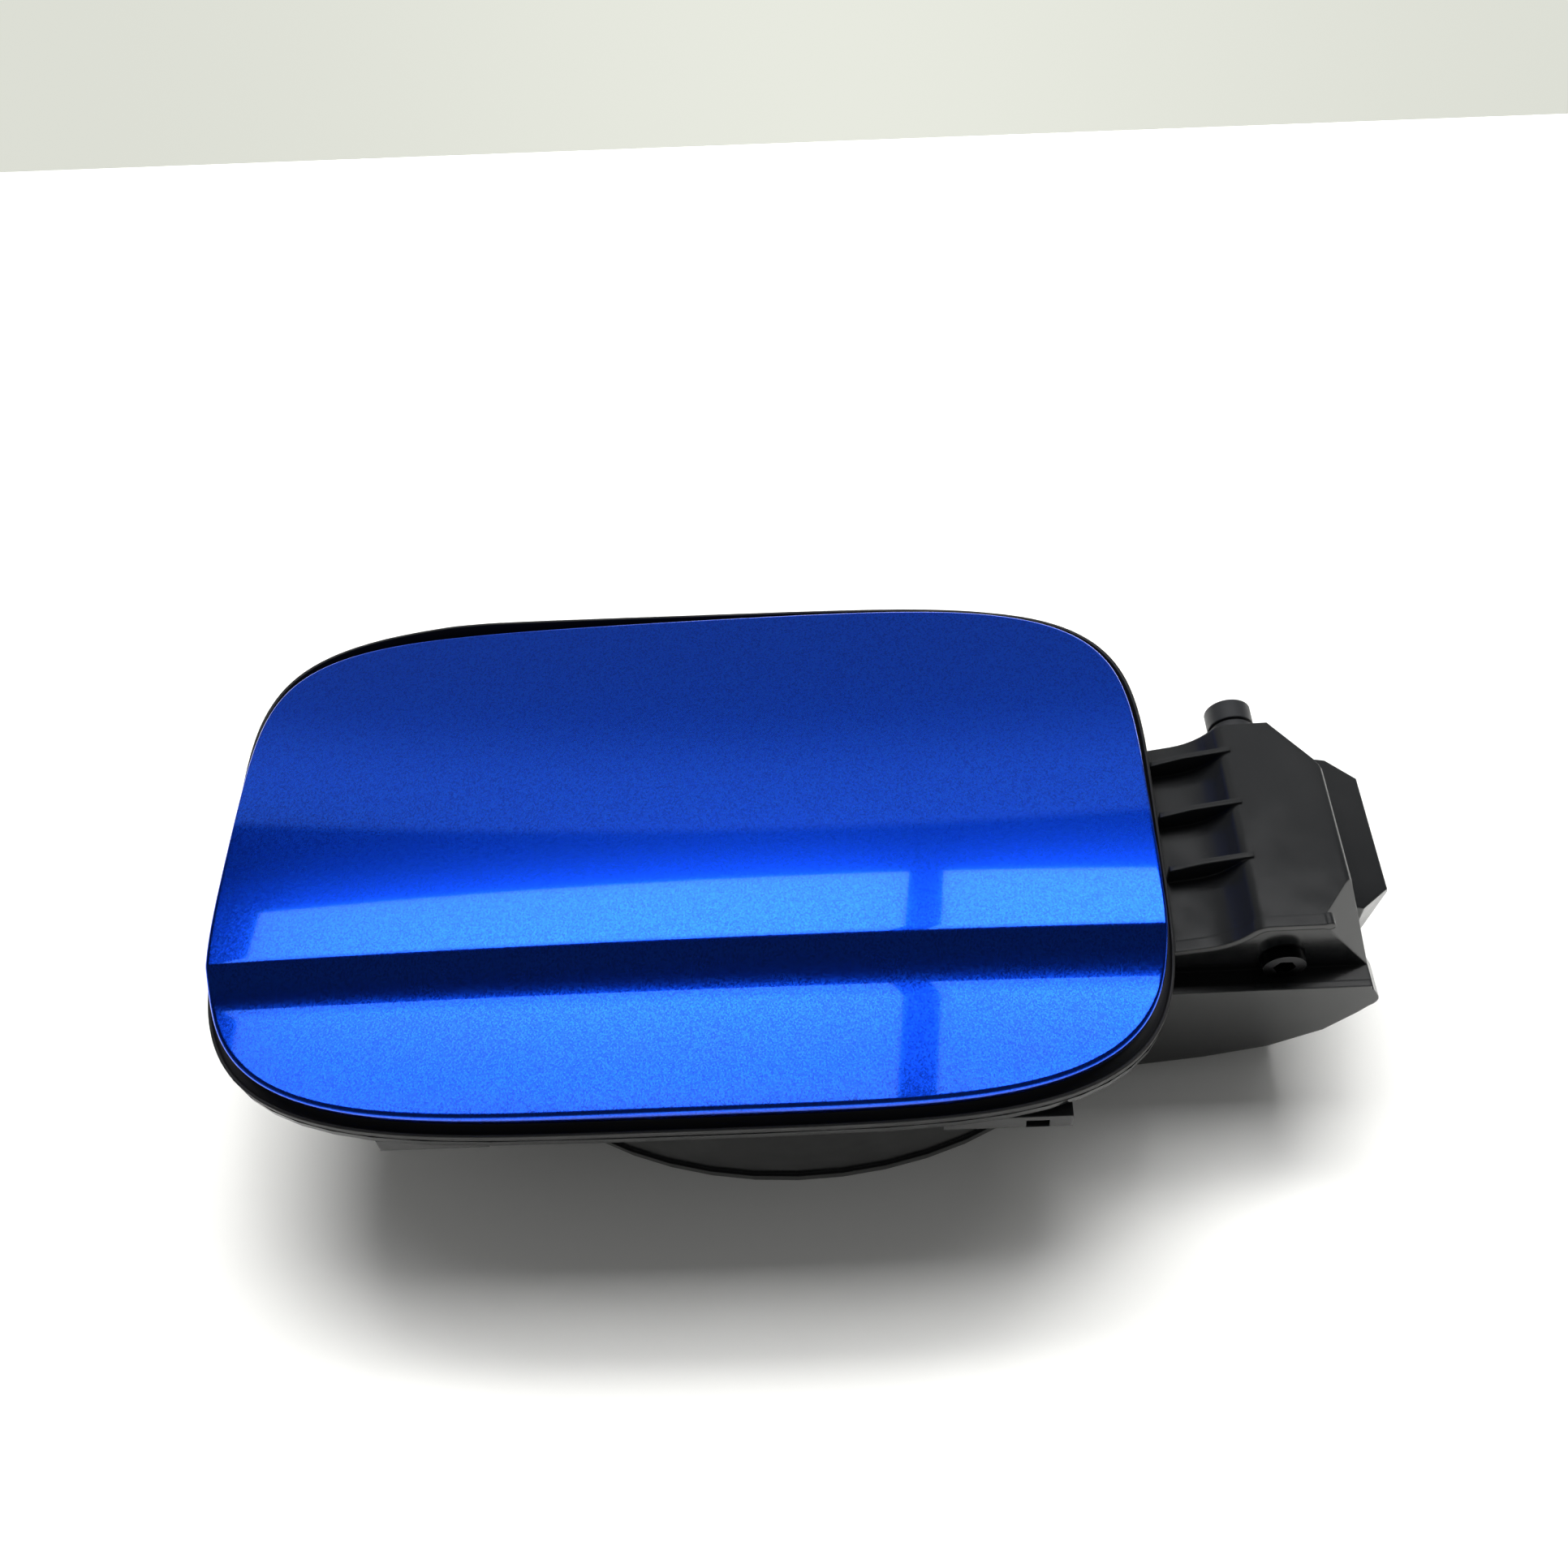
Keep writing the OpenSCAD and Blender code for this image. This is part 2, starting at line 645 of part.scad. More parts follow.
// Soft bead along the roof's front edge, with a round end over the pin
module roof_bead() {
  roof = roof_line(0);
  start = roof[0] * 0.8 + roof[1] * 0.2;
  end = [6.5, roof_up];
  along_pin(box_y - 1.2, 2.6) {
    polygon(band(concat([start], [for (i = [1:len(roof) - 1]) roof[i]], [end]), 1.7));
    translate(end) circle(r = 1.2);
  }
}

// Box on the right wall that the leaf spring stands in, narrower towards its outer end
module tail_box() {
  intersection() {
    along_pin(tail_y, tail_end - tail_y) polygon(tail);
    translate([pin_x, 0, pin_z - 40]) linear_extrude(80) polygon([
      [8, tail_y], [17.2, tail_y], [24.2, tail_y + 6], [24.2, tail_end - 4.7], [17.2, tail_end], [8, tail_end]
    ]);
  }
}

// Ribs under the floor between the foot band and the neck hole
module foot_ribs() {
  for (a = [30:60:330])
    rotate([0, 0, a]) translate([neck_hole_d / 2 + 5, -0.9, 0.6])
      cube([bowl_b - wall - neck_hole_d / 2 - 5.5, 1.8, floor_z]);
}

// Stiffening webs between the bowl and the shelf
module gussets() {
  for (y = [-bowl_b / 2, bowl_b / 2])
    translate([-bowl_a - 24, y + 0.8, 0]) rotate([90, 0, 0]) linear_extrude(1.6)
      polygon([[0, shelf_z - 1], [36, shelf_z - 1], [36, 14], [30, 14]]);
  for (f = [-0.82, -0.41, 0, 0.41])
    side_gusset(f, 1);
  side_gusset(-0.82, -1);
}

// Web on the bowl's back side (s = 1) or front side (s = -1), at fraction f of its half length
module side_gusset(f, s) {
  r = bowl_b * sqrt(1 - f * f);
  rim_y = s * (door_h / 2 - 7) + door_y;
  translate([f * bowl_a, 0, 0]) rotate([90, 0, 90]) linear_extrude(1.6)
    polygon([[s * (r - 2), 16], [s * (r - 2), shelf_z - 1], [rim_y, shelf_z - 1], [s * (r + 1.5), 16]]);
}

// Rod for the drain spout, low on the bowl's latch side
module drain(x0, length, r) {
  translate([x0, drain_y, drain_z]) rotate([0, 90, 0]) cylinder(r = r, h = length);
}

// Soft frame on the rim: an inner lip under the door and an outer lip
module rim_seal() {
  color(soft) difference() {
    union() {
      rim_prism(lip_out - 1, -seal_h, -seal_h + 1.1);
      rim_prism(lip_out, -seal_h, -seal_h + 2.1);
      rim_prism(-1.6, -seal_h, 0);
    }
    rim_ring(lip_out - 0.8, -1.6, -seal_h + 1.1, 2);
    rim_prism(-3.2, -seal_h + 1.1, 2);
    rim_prism(-flange_in + 2.5, -seal_h - 2, 2);
  }
}

// Rubber collar that grips the filler neck and snaps into the floor
module neck_seal() {
  r = neck_d / 2;
  h = neck_hole_d / 2;
  color(soft) rotate_extrude($fn = 96) polygon([
    [r, 0], [h + 3, 0], [h + 3, floor_z - seat_gap], [h - seat_gap, floor_z - seat_gap],
    [h - seat_gap, floor_z + wall + seat_gap], [h + 3.5, floor_z + wall + seat_gap],
    [h + 2, floor_z + wall + 2.2], [h - 2, floor_z + wall + 2.6], [r + 3, neck_len],
    [r + 2.4, neck_len + 1], [r + 0.6, neck_len + 1], [r, neck_len]
  ]);
}

module hinge_pin() {
  y0 = box_y - 2.6;
  color(steel) difference() {
    union() {
      pin_rod(y0, 5.3, pin_head_d / 2);
      pin_rod(y0 + 5, box_end + 11 - y0 - 5, pin_d / 2);
    }
    translate([pin_x, y0 - 1, pin_z]) rotate([-90, 0, 0]) cylinder(d = pin_key / cos(30), h = 3.6, $fn = 6);
  }
}

// Grooved cap pushed over the pin's far end
module pin_cap() {
  color(plastic) difference() {
    union() {
      pin_rod(box_end, 7.8, 4.9);
      pin_rod(box_end + 7, 2, 4.4);
      pin_rod(box_end + 8.4, 4.9, 5.1);
    }
    pin_rod(box_end - 1, 12.2, pin_d / 2 + 0.02);
  }
}

// Bowed leaf in the tail that presses on the barrel, over centre
module leaf_spring() {
  color(steel) along_pin(tail_mid[0] + 1.4, tail_mid[1] - tail_mid[0] - 2.8) polygon(band(leaf_line, leaf_t));
}

// Rubber stops that the closed door lands on
module stop_buffers() {
  color(soft) for (s = [-1, 1])
    intersection() {
      translate([latch_x, latch_y + s * buffer_out, shelf_z + 1]) union() {
        cylinder(r = buffer_stem_r, h = 6);
        translate([0, 0, 5]) cylinder(r = 5, h = 20);
      }
      rim_prism(-1, -30, hem_top - clear_gap);
    }
}

// Latch barrel hung under the shelf
module latch_body() {
  color(plastic) difference() {
    translate([latch_x, latch_y, 0]) union() {
      translate([0, 0, cavity_z0]) cylinder(r = barrel_out_r, h = shelf_z - wall - cavity_z0);
      translate([0, 0, shelf_z - wall - 3]) rounded_plate(-11, 11, -20, 20, 8, 3);
      for (a = [45:90:315])
        rotate([0, 0, a]) translate([barrel_out_r - 1.5, -1, 12]) cube([2.6, 2, shelf_z - wall - 13]);
    }
    translate([latch_x, latch_y, cavity_z0 - 1]) cylinder(r = cavity_r, h = cavity_z1 - cavity_z0 + 1);
    translate([latch_x, latch_y, cavity_z0]) cylinder(r = plunger_r + run_gap, h = shelf_z);
    for (s = [-1, 1])
      translate([latch_x, latch_y + s * latch_screw_out, shelf_z - wall - 5]) cylinder(d = 2.8, h = 8);
  }
}

module latch_cover() {
  color(plastic) translate([latch_x, latch_y, 0]) {
    translate([0, 0, cavity_z0 - 2]) cylinder(r = barrel_out_r, h = 2);
    difference() {
      translate([0, 0, cavity_z0]) cylinder(r = cavity_r - seat_gap, h = 3);
      translate([0, 0, cavity_z0 + 1]) cylinder(r = coil_r + 1.6, h = 3);
    }
  }
}

module latch_wiper() {
  color(soft) translate([latch_x, latch_y, 0]) rotate_extrude() polygon([
    [plunger_r + 0.3, shelf_z - wall], [plunger_r + 3.9, shelf_z - wall], [plunger_r + 3.9, shelf_z],
    [plunger_r + 6, shelf_z], [plunger_r + 5.2, shelf_z + 1.6], [plunger_r + 2, shelf_z + 2],
    [plunger_r + 0.9, shelf_z + 4], [plunger_r + 0.3, shelf_z + 4]
  ]);
}

module latch_screws() {
  color(steel) for (s = [-1, 1])
    translate([latch_x, latch_y + s * latch_screw_out, shelf_z]) mirror([0, 0, 1]) screw(6, 1.8, 2.7, 6);
}

// Coil spring between the cover and the plunger's collar
function coil_point(i, j) =
  let (
    n = coil_turns * coil_steps,
    a = 360 * i / coil_steps,
    b = 360 * j / coil_sides,
    z = coil_z0 + (coil_z1 - coil_z0) * i / n
  ) [(coil_r + wire_r * cos(b)) * cos(a), (coil_r + wire_r * cos(b)) * sin(a), z + wire_r * sin(b)];

module latch_spring() {
  n = coil_turns * coil_steps;
  points = [for (i = [0:n]) for (j = [0:coil_sides - 1]) coil_point(i, j)];
  walls = [
    for (i = [0:n - 1])
      for (j = [0:coil_sides - 1])
        let (k = (j + 1) % coil_sides)
          [i * coil_sides + j, i * coil_sides + k, (i + 1) * coil_sides + k, (i + 1) * coil_sides + j]
  ];
  start = [for (j = [coil_sides - 1:-1:0]) j];
  end = [for (j = [0:coil_sides - 1]) n * coil_sides + j];
  color(steel) translate([latch_x, latch_y, 0]) polyhedron(points, concat(walls, [start, end]));
}

// Plunger that the door presses in. Its collar stops it at the end of its travel.
module latch_plunger() {
  color("whitesmoke") translate([latch_x, latch_y, 0]) difference() {
    union() {
      translate([0, 0, collar_z + 1]) cylinder(r = plunger_r, h = rod_top - collar_z - 1);
      translate([0, 0, collar_z]) cylinder(r = collar_r, h = collar_t);
      translate([0, 0, collar_z - 10]) cylinder(r = stem_r, h = 11);
    }
    translate([0, 0, rod_top - 4]) cylinder(r = hammer_stem_r + run_gap, h = 5);
  }
}

// Hammer head, in line with the striker's slot when the door is free
module latch_hammer() {
  color(steel) translate([latch_x, latch_y, 0]) {
    translate([0, 0, rod_top - 3.9]) cylinder(r = hammer_stem_r, h = hammer_z - rod_top + 4.2);
    translate([-hammer_w / 2, -hammer_l / 2, hammer_z]) cube([hammer_w, hammer_l, hammer_t]);
  }
}

door_skin();
inner_panel();
hinge_arm();
arm_screws();
arm_bushes();
latch_striker();
striker_screws();
cap_holder();
housing();
rim_seal();
neck_seal();
hinge_pin();
pin_cap();
leaf_spring();
stop_buffers();
latch_body();
latch_cover();
latch_wiper();
latch_screws();
latch_spring();
latch_plunger();
latch_hammer();
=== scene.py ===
import bpy
import bmesh
import math
from mathutils import Euler, Matrix, Vector


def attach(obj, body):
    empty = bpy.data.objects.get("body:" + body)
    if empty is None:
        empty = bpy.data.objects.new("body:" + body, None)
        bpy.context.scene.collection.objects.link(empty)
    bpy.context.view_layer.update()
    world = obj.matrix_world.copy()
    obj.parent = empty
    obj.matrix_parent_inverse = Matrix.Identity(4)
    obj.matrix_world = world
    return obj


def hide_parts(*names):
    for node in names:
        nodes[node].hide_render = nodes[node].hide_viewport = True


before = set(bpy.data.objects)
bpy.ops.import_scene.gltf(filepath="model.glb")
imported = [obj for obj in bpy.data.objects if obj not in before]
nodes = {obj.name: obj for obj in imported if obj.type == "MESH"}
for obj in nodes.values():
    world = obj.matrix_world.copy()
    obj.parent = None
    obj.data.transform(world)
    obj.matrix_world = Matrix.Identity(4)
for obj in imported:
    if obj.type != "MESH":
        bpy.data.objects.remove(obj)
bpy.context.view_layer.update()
mm = 0.001


# adds one node: inputs are values, or the sockets or nodes to link, settings are its own options
def add(tree, kind, inputs=None, **settings):
    node = tree.nodes.new(kind)
    for name, value in settings.items():
        setattr(node, name, value)
    for key, value in (inputs or {}).items():
        if isinstance(value, bpy.types.Node):
            value = value.outputs[0]
        if isinstance(value, bpy.types.NodeSocket):
            tree.links.new(value, node.inputs[key])
        else:
            node.inputs[key].default_value = value
    return node


# "#rrggbb" in sRGB to the linear colour that nodes take
def hexColor(text):
    values = [int(text[i:i + 2], 16) / 255 for i in (1, 3, 5)]
    return [v / 12.92 if v <= 0.04045 else ((v + 0.055) / 1.055) ** 2.4 for v in values] + [1.0]


# an empty material and its tree
def newMaterial(name):
    material = bpy.data.materials.new(name)
    material.use_nodes = True
    material.node_tree.nodes.clear()
    return material, material.node_tree


def finishMaterial(tree, shader):
    add(tree, "ShaderNodeOutputMaterial", {"Surface": shader})


# a tree that makes one piece, with its named sizes as inputs
def newTree(name, sizes):
    tree = bpy.data.node_groups.new(name, "GeometryNodeTree")
    for size in sizes:
        tree.interface.new_socket(size, in_out="INPUT", socket_type="NodeSocketFloat")
    tree.interface.new_socket(name, in_out="OUTPUT", socket_type="NodeSocketGeometry")
    return tree, add(tree, "NodeGroupInput").outputs


# trees are drawn in millimetres, and end in metres, as real faces of one material
def finishTree(tree, shape, material):
    metres = add(tree, "GeometryNodeTransform", {"Geometry": shape, "Scale": (mm, mm, mm)})
    whole = add(tree, "GeometryNodeRealizeInstances", {0: metres})
    painted = add(tree, "GeometryNodeSetMaterial", {"Geometry": whole, "Material": material})
    add(tree, "NodeGroupOutput", {0: painted})


# runs a tree with its named sizes, and keeps the result as a plain mesh
def growPiece(name, tree, sizes):
    seed = bpy.data.objects.new(name + " seed", bpy.data.meshes.new(name + " seed"))
    bpy.context.collection.objects.link(seed)
    modifier = seed.modifiers.new(name, "NODES")
    modifier.node_group = tree
    for item in tree.interface.items_tree:
        if item.in_out == "INPUT":
            modifier[item.identifier] = float(sizes[item.name])
    graph = bpy.context.evaluated_depsgraph_get()
    mesh = bpy.data.meshes.new_from_object(seed.evaluated_get(graph))
    mesh.name = name
    bpy.data.objects.remove(seed)
    piece = bpy.data.objects.new(name, mesh)
    bpy.context.collection.objects.link(piece)
    return piece


# smooth faces, with edges kept sharp past that angle
def smoothPiece(piece, angle):
    piece.data.shade_smooth()
    piece.data.set_sharp_from_angle(angle=math.radians(angle))


# turns the faces of a closed piece outwards
def outwards(piece):
    shell = bmesh.new()
    shell.from_mesh(piece.data)
    bmesh.ops.recalc_face_normals(shell, faces=shell.faces)
    shell.to_mesh(piece.data)
    shell.free()


# lowest and highest corner of a piece, in metres
def boxOf(piece):
    spots = [piece.matrix_world @ vertex.co for vertex in piece.data.vertices]
    return [min(p[i] for p in spots) for i in range(3)], [max(p[i] for p in spots) for i in range(3)]


print("materials")

# Metallic basecoat under clearcoat, sprayed. Some flakes lie flat and mirror the lamp sharply. The
# others lie a little askew and carry its glow across the panel. Each has its own brightness.
bluePaintLook = {"flat": "#1e70f8", "askew": "#114eff", "flakeMm": 0.3, "flatShare": 0.28,
    "flatRoughness": 0.05, "askewRoughness": 0.19, "askewLean": 0.02, "glitter": 0.3, "clearcoat": 0.25,
    "clearcoatRoughness": 0.02, "clearcoatIor": 1.5}


def makeBluePaint():
    look = bluePaintLook
    material, tree = newMaterial("metallic blue basecoat and clearcoat")
    place = add(tree, "ShaderNodeTexCoord").outputs["Object"]
    # real flakes are about 0.03 mm, drawn coarser so that they show
    flakes = add(tree, "ShaderNodeTexVoronoi", {"Vector": place, "Scale": 1000 / look["flakeMm"]})
    flakeColor = flakes.outputs["Color"]
    pick = add(tree, "ShaderNodeSeparateColor", {0: flakeColor})
    glint = add(tree, "ShaderNodeMapRange", {"Value": pick.outputs[1], "To Min": 1 - look["glitter"],
        "To Max": 1 + look["glitter"]})
    # each flake's own colour, less grey, gives the way that it leans
    tilt = add(tree, "ShaderNodeVectorMath", {0: flakeColor, 1: (0.5, 0.5, 0.5)}, operation="SUBTRACT")
    lean = add(tree, "ShaderNodeVectorMath", {0: tilt, "Scale": look["askewLean"]}, operation="SCALE")
    normal = add(tree, "ShaderNodeNewGeometry").outputs["Normal"]
    turned = add(tree, "ShaderNodeVectorMath", {0: normal, 1: lean}, operation="ADD")
    flakeNormal = add(tree, "ShaderNodeVectorMath", {0: turned}, operation="NORMALIZE")
    layers = []
    for kind, way in (("flat", normal), ("askew", flakeNormal)):
        color = add(tree, "ShaderNodeVectorMath", {0: hexColor(look[kind])[:3], "Scale": glint},
            operation="SCALE")
        layers.append(add(tree, "ShaderNodeBsdfPrincipled", {"Base Color": color, "Metallic": 1.0,
            "Roughness": look[kind + "Roughness"], "Normal": way, "Coat Weight": look["clearcoat"],
            "Coat Roughness": look["clearcoatRoughness"], "Coat IOR": look["clearcoatIor"]}))
    shader = add(tree, "ShaderNodeMixShader", {0: 1 - look["flatShare"], 1: layers[0], 2: layers[1]})
    finishMaterial(tree, shader)
    return material


# Glass-filled polyamide, moulded in a finely eroded tool: near black, a soft sheen, faint waviness
mouldedLook = {"color": "#161718", "roughness": 0.2, "wearMm": 9, "wearSpan": (0.35, 0.65),
    "wornLess": 0.05, "wornMore": 0.06, "grainMm": 0.25, "grainDepth": 0.015, "grainStrength": 0.25,
    "edgeMm": 0.6, "ior": 1.53, "specular": 0.38}


def makeMoulding(name, look):
    material, tree = newMaterial(name)
    place = add(tree, "ShaderNodeTexCoord").outputs["Object"]
    grain = add(tree, "ShaderNodeTexNoise", {"Vector": place, "Scale": 1000 / look["grainMm"], "Detail": 2.0})
    wear = add(tree, "ShaderNodeTexNoise", {"Vector": place, "Scale": 1000 / look["wearMm"], "Detail": 4.0})
    gloss = add(tree, "ShaderNodeMapRange", {"Value": wear, "From Min": look["wearSpan"][0],
        "From Max": look["wearSpan"][1], "To Min": look["roughness"] - look["wornLess"],
        "To Max": look["roughness"] + look["wornMore"]})
    # the tool's small edge round
    rounded = add(tree, "ShaderNodeBevel", {"Radius": look["edgeMm"] * mm}, samples=4)
    bump = add(tree, "ShaderNodeBump", {"Height": grain, "Strength": look["grainStrength"],
        "Distance": look["grainDepth"] * mm, "Normal": rounded})
    shader = add(tree, "ShaderNodeBsdfPrincipled", {"Base Color": hexColor(look["color"]),
        "Roughness": gloss, "Normal": bump, "IOR": look["ior"], "Specular IOR Level": look["specular"]})
    finishMaterial(tree, shader)
    return material


# Extruded sponge rubber: matt black, with a faint grey bloom
rubberLook = dict(mouldedLook, color="#1b1b1c", roughness=0.5, grainMm=0.4, grainDepth=0.03, wearMm=6,
    edgeMm=0.4)

# Turned steel: fine turning marks break its reflections up
steelLook = {"color": "#5c5c5e", "roughness": 0.32, "marks": 0.08, "grainMm": 0.15}


def makeSteel(name, look):
    material, tree = newMaterial(name)
    place = add(tree, "ShaderNodeTexCoord").outputs["Object"]
    grain = add(tree, "ShaderNodeTexNoise", {"Vector": place, "Scale": 1000 / look["grainMm"], "Detail": 2.0})
    gloss = add(tree, "ShaderNodeMapRange", {"Value": grain, "To Min": look["roughness"] - look["marks"],
        "To Max": look["roughness"] + look["marks"]})
    shader = add(tree, "ShaderNodeBsdfPrincipled", {"Base Color": hexColor(look["color"]), "Metallic": 1.0,
        "Roughness": gloss})
    finishMaterial(tree, shader)
    return material


bluePaint = makeBluePaint()
moulding = makeMoulding("black polyamide moulding", mouldedLook)
rubber = makeMoulding("sponge rubber", rubberLook)
# acetal is moulded duller than the pocket, black or in its own milky colour
armMoulding = makeMoulding("black acetal moulding", dict(mouldedLook, color="#202123", roughness=0.45))
naturalAcetal = makeMoulding("natural acetal", dict(mouldedLook, color="#d9d6c8", roughness=0.35))
# oiled black pin, bright plated screws, grey bare wire and strip, and a dull casting
blackSteel = makeSteel("blackened turned steel", dict(steelLook, color="#2a2a2c"))
zincSteel = makeSteel("zinc plated steel", dict(steelLook, color="#b9bbbd", roughness=0.3))
springSteel = makeSteel("cold rolled spring steel", dict(steelLook, color="#8f9092"))
zincCasting = makeSteel("die cast zinc", dict(steelLook, color="#9fa1a4", roughness=0.4))


print("camera")

# lens and sensor in millimetres, place in metres, turn about x, y and z in degrees
cameraLook = {"lens": 34.472, "sensor": 36.0, "place": (0.020396, -0.175576, 0.319372),
    "turn": (35.76114, 4.39008, -0.38147), "nearest": 0.01}
camera = bpy.data.objects.new("camera", bpy.data.cameras.new("camera"))
bpy.context.collection.objects.link(camera)
camera.data.lens = cameraLook["lens"]
camera.data.sensor_width = cameraLook["sensor"]
camera.data.clip_start = cameraLook["nearest"]
cameraTurn = Euler([math.radians(angle) for angle in cameraLook["turn"]])
camera.matrix_world = Matrix.LocRotScale(Vector(cameraLook["place"]), cameraTurn, None)
bpy.context.scene.camera = camera


print("door skin")

# The face is crowned side to side, bowed behind the crease, and steps down in front of it. Lengths in
# millimetres, angles in degrees, as the pressed sheet has them. A corner's fullness is 2 for an
# ellipse, and grows towards a square.
doorSkin = {"width": 195, "height": 119, "middleX": -20, "middleY": -0.5, "ridgeZ": 62, "creaseIn": 33.5,
    "backLeft": 5.3, "backRight": 4.8, "frontLeft": 4.0, "frontRight": 4.4,
    "crown": 2500, "bow": 600, "creaseRound": 0.35, "stepSlope": 30, "stepLength": 11, "stepSqueeze": 0.82,
    "lowSlope": 5, "edgeSlope": 7, "sheet": 0.8, "hem": 7, "roll": 0.8,
    "rimDrop": 7.1, "rimTilt": 2.6, "faceLevel": 6.5, "gap": 0.35,
    "columns": 220, "rows": 200, "crowding": 0.4, "creasePull": 0.3, "sharp": 50}
creaseY = doorSkin["creaseIn"] - doorSkin["height"] / 2


# x, y and fullness of the door's outline, from a square's u and v in -1 to 1
def outlineNodes(tree, u, v, halves):
    d = doorSkin
    onRight = add(tree, "FunctionNodeCompare", {"A": u, "B": 0.0}, operation="GREATER_THAN")
    atBack = add(tree, "FunctionNodeCompare", {"A": v, "B": 0.0}, operation="GREATER_THAN")
    front, back = [add(tree, "GeometryNodeSwitch", {0: onRight, 1: d[end + "Left"], 2: d[end + "Right"]},
        input_type="FLOAT") for end in ("front", "back")]
    fullness = add(tree, "GeometryNodeSwitch", {0: atBack, 1: front, 2: back}, input_type="FLOAT")
    product = add(tree, "ShaderNodeMath", {0: u, 1: v}, operation="MULTIPLY")
    size = add(tree, "ShaderNodeMath", {0: product}, operation="ABSOLUTE")
    raised = add(tree, "ShaderNodeMath", {0: size, 1: fullness}, operation="POWER")
    total = add(tree, "ShaderNodeMath", {0: raised, 1: 1.0}, operation="ADD")
    inverse = add(tree, "ShaderNodeMath", {0: -1.0, 1: fullness}, operation="DIVIDE")
    shrink = add(tree, "ShaderNodeMath", {0: total, 1: inverse}, operation="POWER")
    wide = add(tree, "ShaderNodeMath", {0: u, 1: halves[0]}, operation="MULTIPLY")
    deep = add(tree, "ShaderNodeMath", {0: v, 1: halves[1]}, operation="MULTIPLY")
    x = add(tree, "ShaderNodeMath", {0: wide, 1: shrink}, operation="MULTIPLY")
    y = add(tree, "ShaderNodeMath", {0: deep, 1: shrink}, operation="MULTIPLY")
    return x, y, fullness


# height of a round section of that radius, whose centre is at y0, over its level at z0
def arcNodes(tree, y, y0, radius, z0, side):
    offset = add(tree, "ShaderNodeMath", {0: y, 1: y0}, operation="SUBTRACT")
    square = add(tree, "ShaderNodeMath", {0: offset, 1: offset}, operation="MULTIPLY")
    rest = add(tree, "ShaderNodeMath", {0: radius * radius, 1: square}, operation="SUBTRACT")
    root = add(tree, "ShaderNodeMath", {0: rest}, operation="SQRT")
    return add(tree, "ShaderNodeMath", {0: root, 1: side, 2: z0}, operation="MULTIPLY_ADD")


# a place in the tilted rim plane, w above it
def rimPoint(tree, x, y, w):
    d = doorSkin
    tilt = math.radians(d["rimTilt"])
    rimZ = d["ridgeZ"] - d["rimDrop"]
    sunk = add(tree, "ShaderNodeMath", {0: w, 1: -math.sin(tilt), 2: d["middleY"]}, operation="MULTIPLY_ADD")
    raised = add(tree, "ShaderNodeMath", {0: w, 1: math.cos(tilt), 2: rimZ}, operation="MULTIPLY_ADD")
    worldX = add(tree, "ShaderNodeMath", {0: x, 1: d["middleX"]}, operation="ADD")
    worldY = add(tree, "ShaderNodeMath", {0: y, 1: math.cos(tilt), 2: sunk}, operation="MULTIPLY_ADD")
    worldZ = add(tree, "ShaderNodeMath", {0: y, 1: math.sin(tilt), 2: raised}, operation="MULTIPLY_ADD")
    return add(tree, "ShaderNodeCombineXYZ", {0: worldX, 1: worldY, 2: worldZ})


# a grid of points over the door, closer together towards its edge, with one row along the crease
def skinGrid(tree, halves):
    d = doorSkin
    grid = add(tree, "GeometryNodeMeshGrid", {"Size X": 2.0, "Size Y": 2.0, "Vertices X": d["columns"] + 1,
        "Vertices Y": d["rows"] + 1})
    place = add(tree, "ShaderNodeSeparateXYZ", {0: add(tree, "GeometryNodeInputPosition")})
    spread = []
    for t in place.outputs[:2]:
        square = add(tree, "ShaderNodeMath", {0: t, 1: t}, operation="MULTIPLY")
        factor = add(tree, "ShaderNodeMath", {0: square, 1: -d["crowding"], 2: 1 + d["crowding"]},
            operation="MULTIPLY_ADD")
        spread.append(add(tree, "ShaderNodeMath", {0: t, 1: factor}, operation="MULTIPLY"))
    x, y, fullness = outlineNodes(tree, spread[0], spread[1], halves)

    # the row nearest to the crease is moved onto it, and its neighbours follow
    even = [2 * i / d["rows"] - 1 for i in range(d["rows"] + 1)]
    rows = [t * (1 + d["crowding"] - d["crowding"] * t * t) for t in even]
    nearest = min(rows, key=lambda v: abs(v * d["height"] / 2 - creaseY))
    rowY = outlineNodes(tree, spread[0], nearest, halves)[1]
    missing = add(tree, "ShaderNodeMath", {0: creaseY, 1: rowY}, operation="SUBTRACT")
    offset = add(tree, "ShaderNodeMath", {0: spread[1], 1: nearest}, operation="SUBTRACT")
    away = add(tree, "ShaderNodeMath", {0: offset}, operation="ABSOLUTE")
    share = add(tree, "ShaderNodeMapRange", {"Value": away, "From Max": d["creasePull"], "To Min": 1.0,
        "To Max": 0.0}, interpolation_type="SMOOTHSTEP")
    y = add(tree, "ShaderNodeMath", {0: missing, 1: share, 2: y}, operation="MULTIPLY_ADD")
    return grid, x, y, fullness


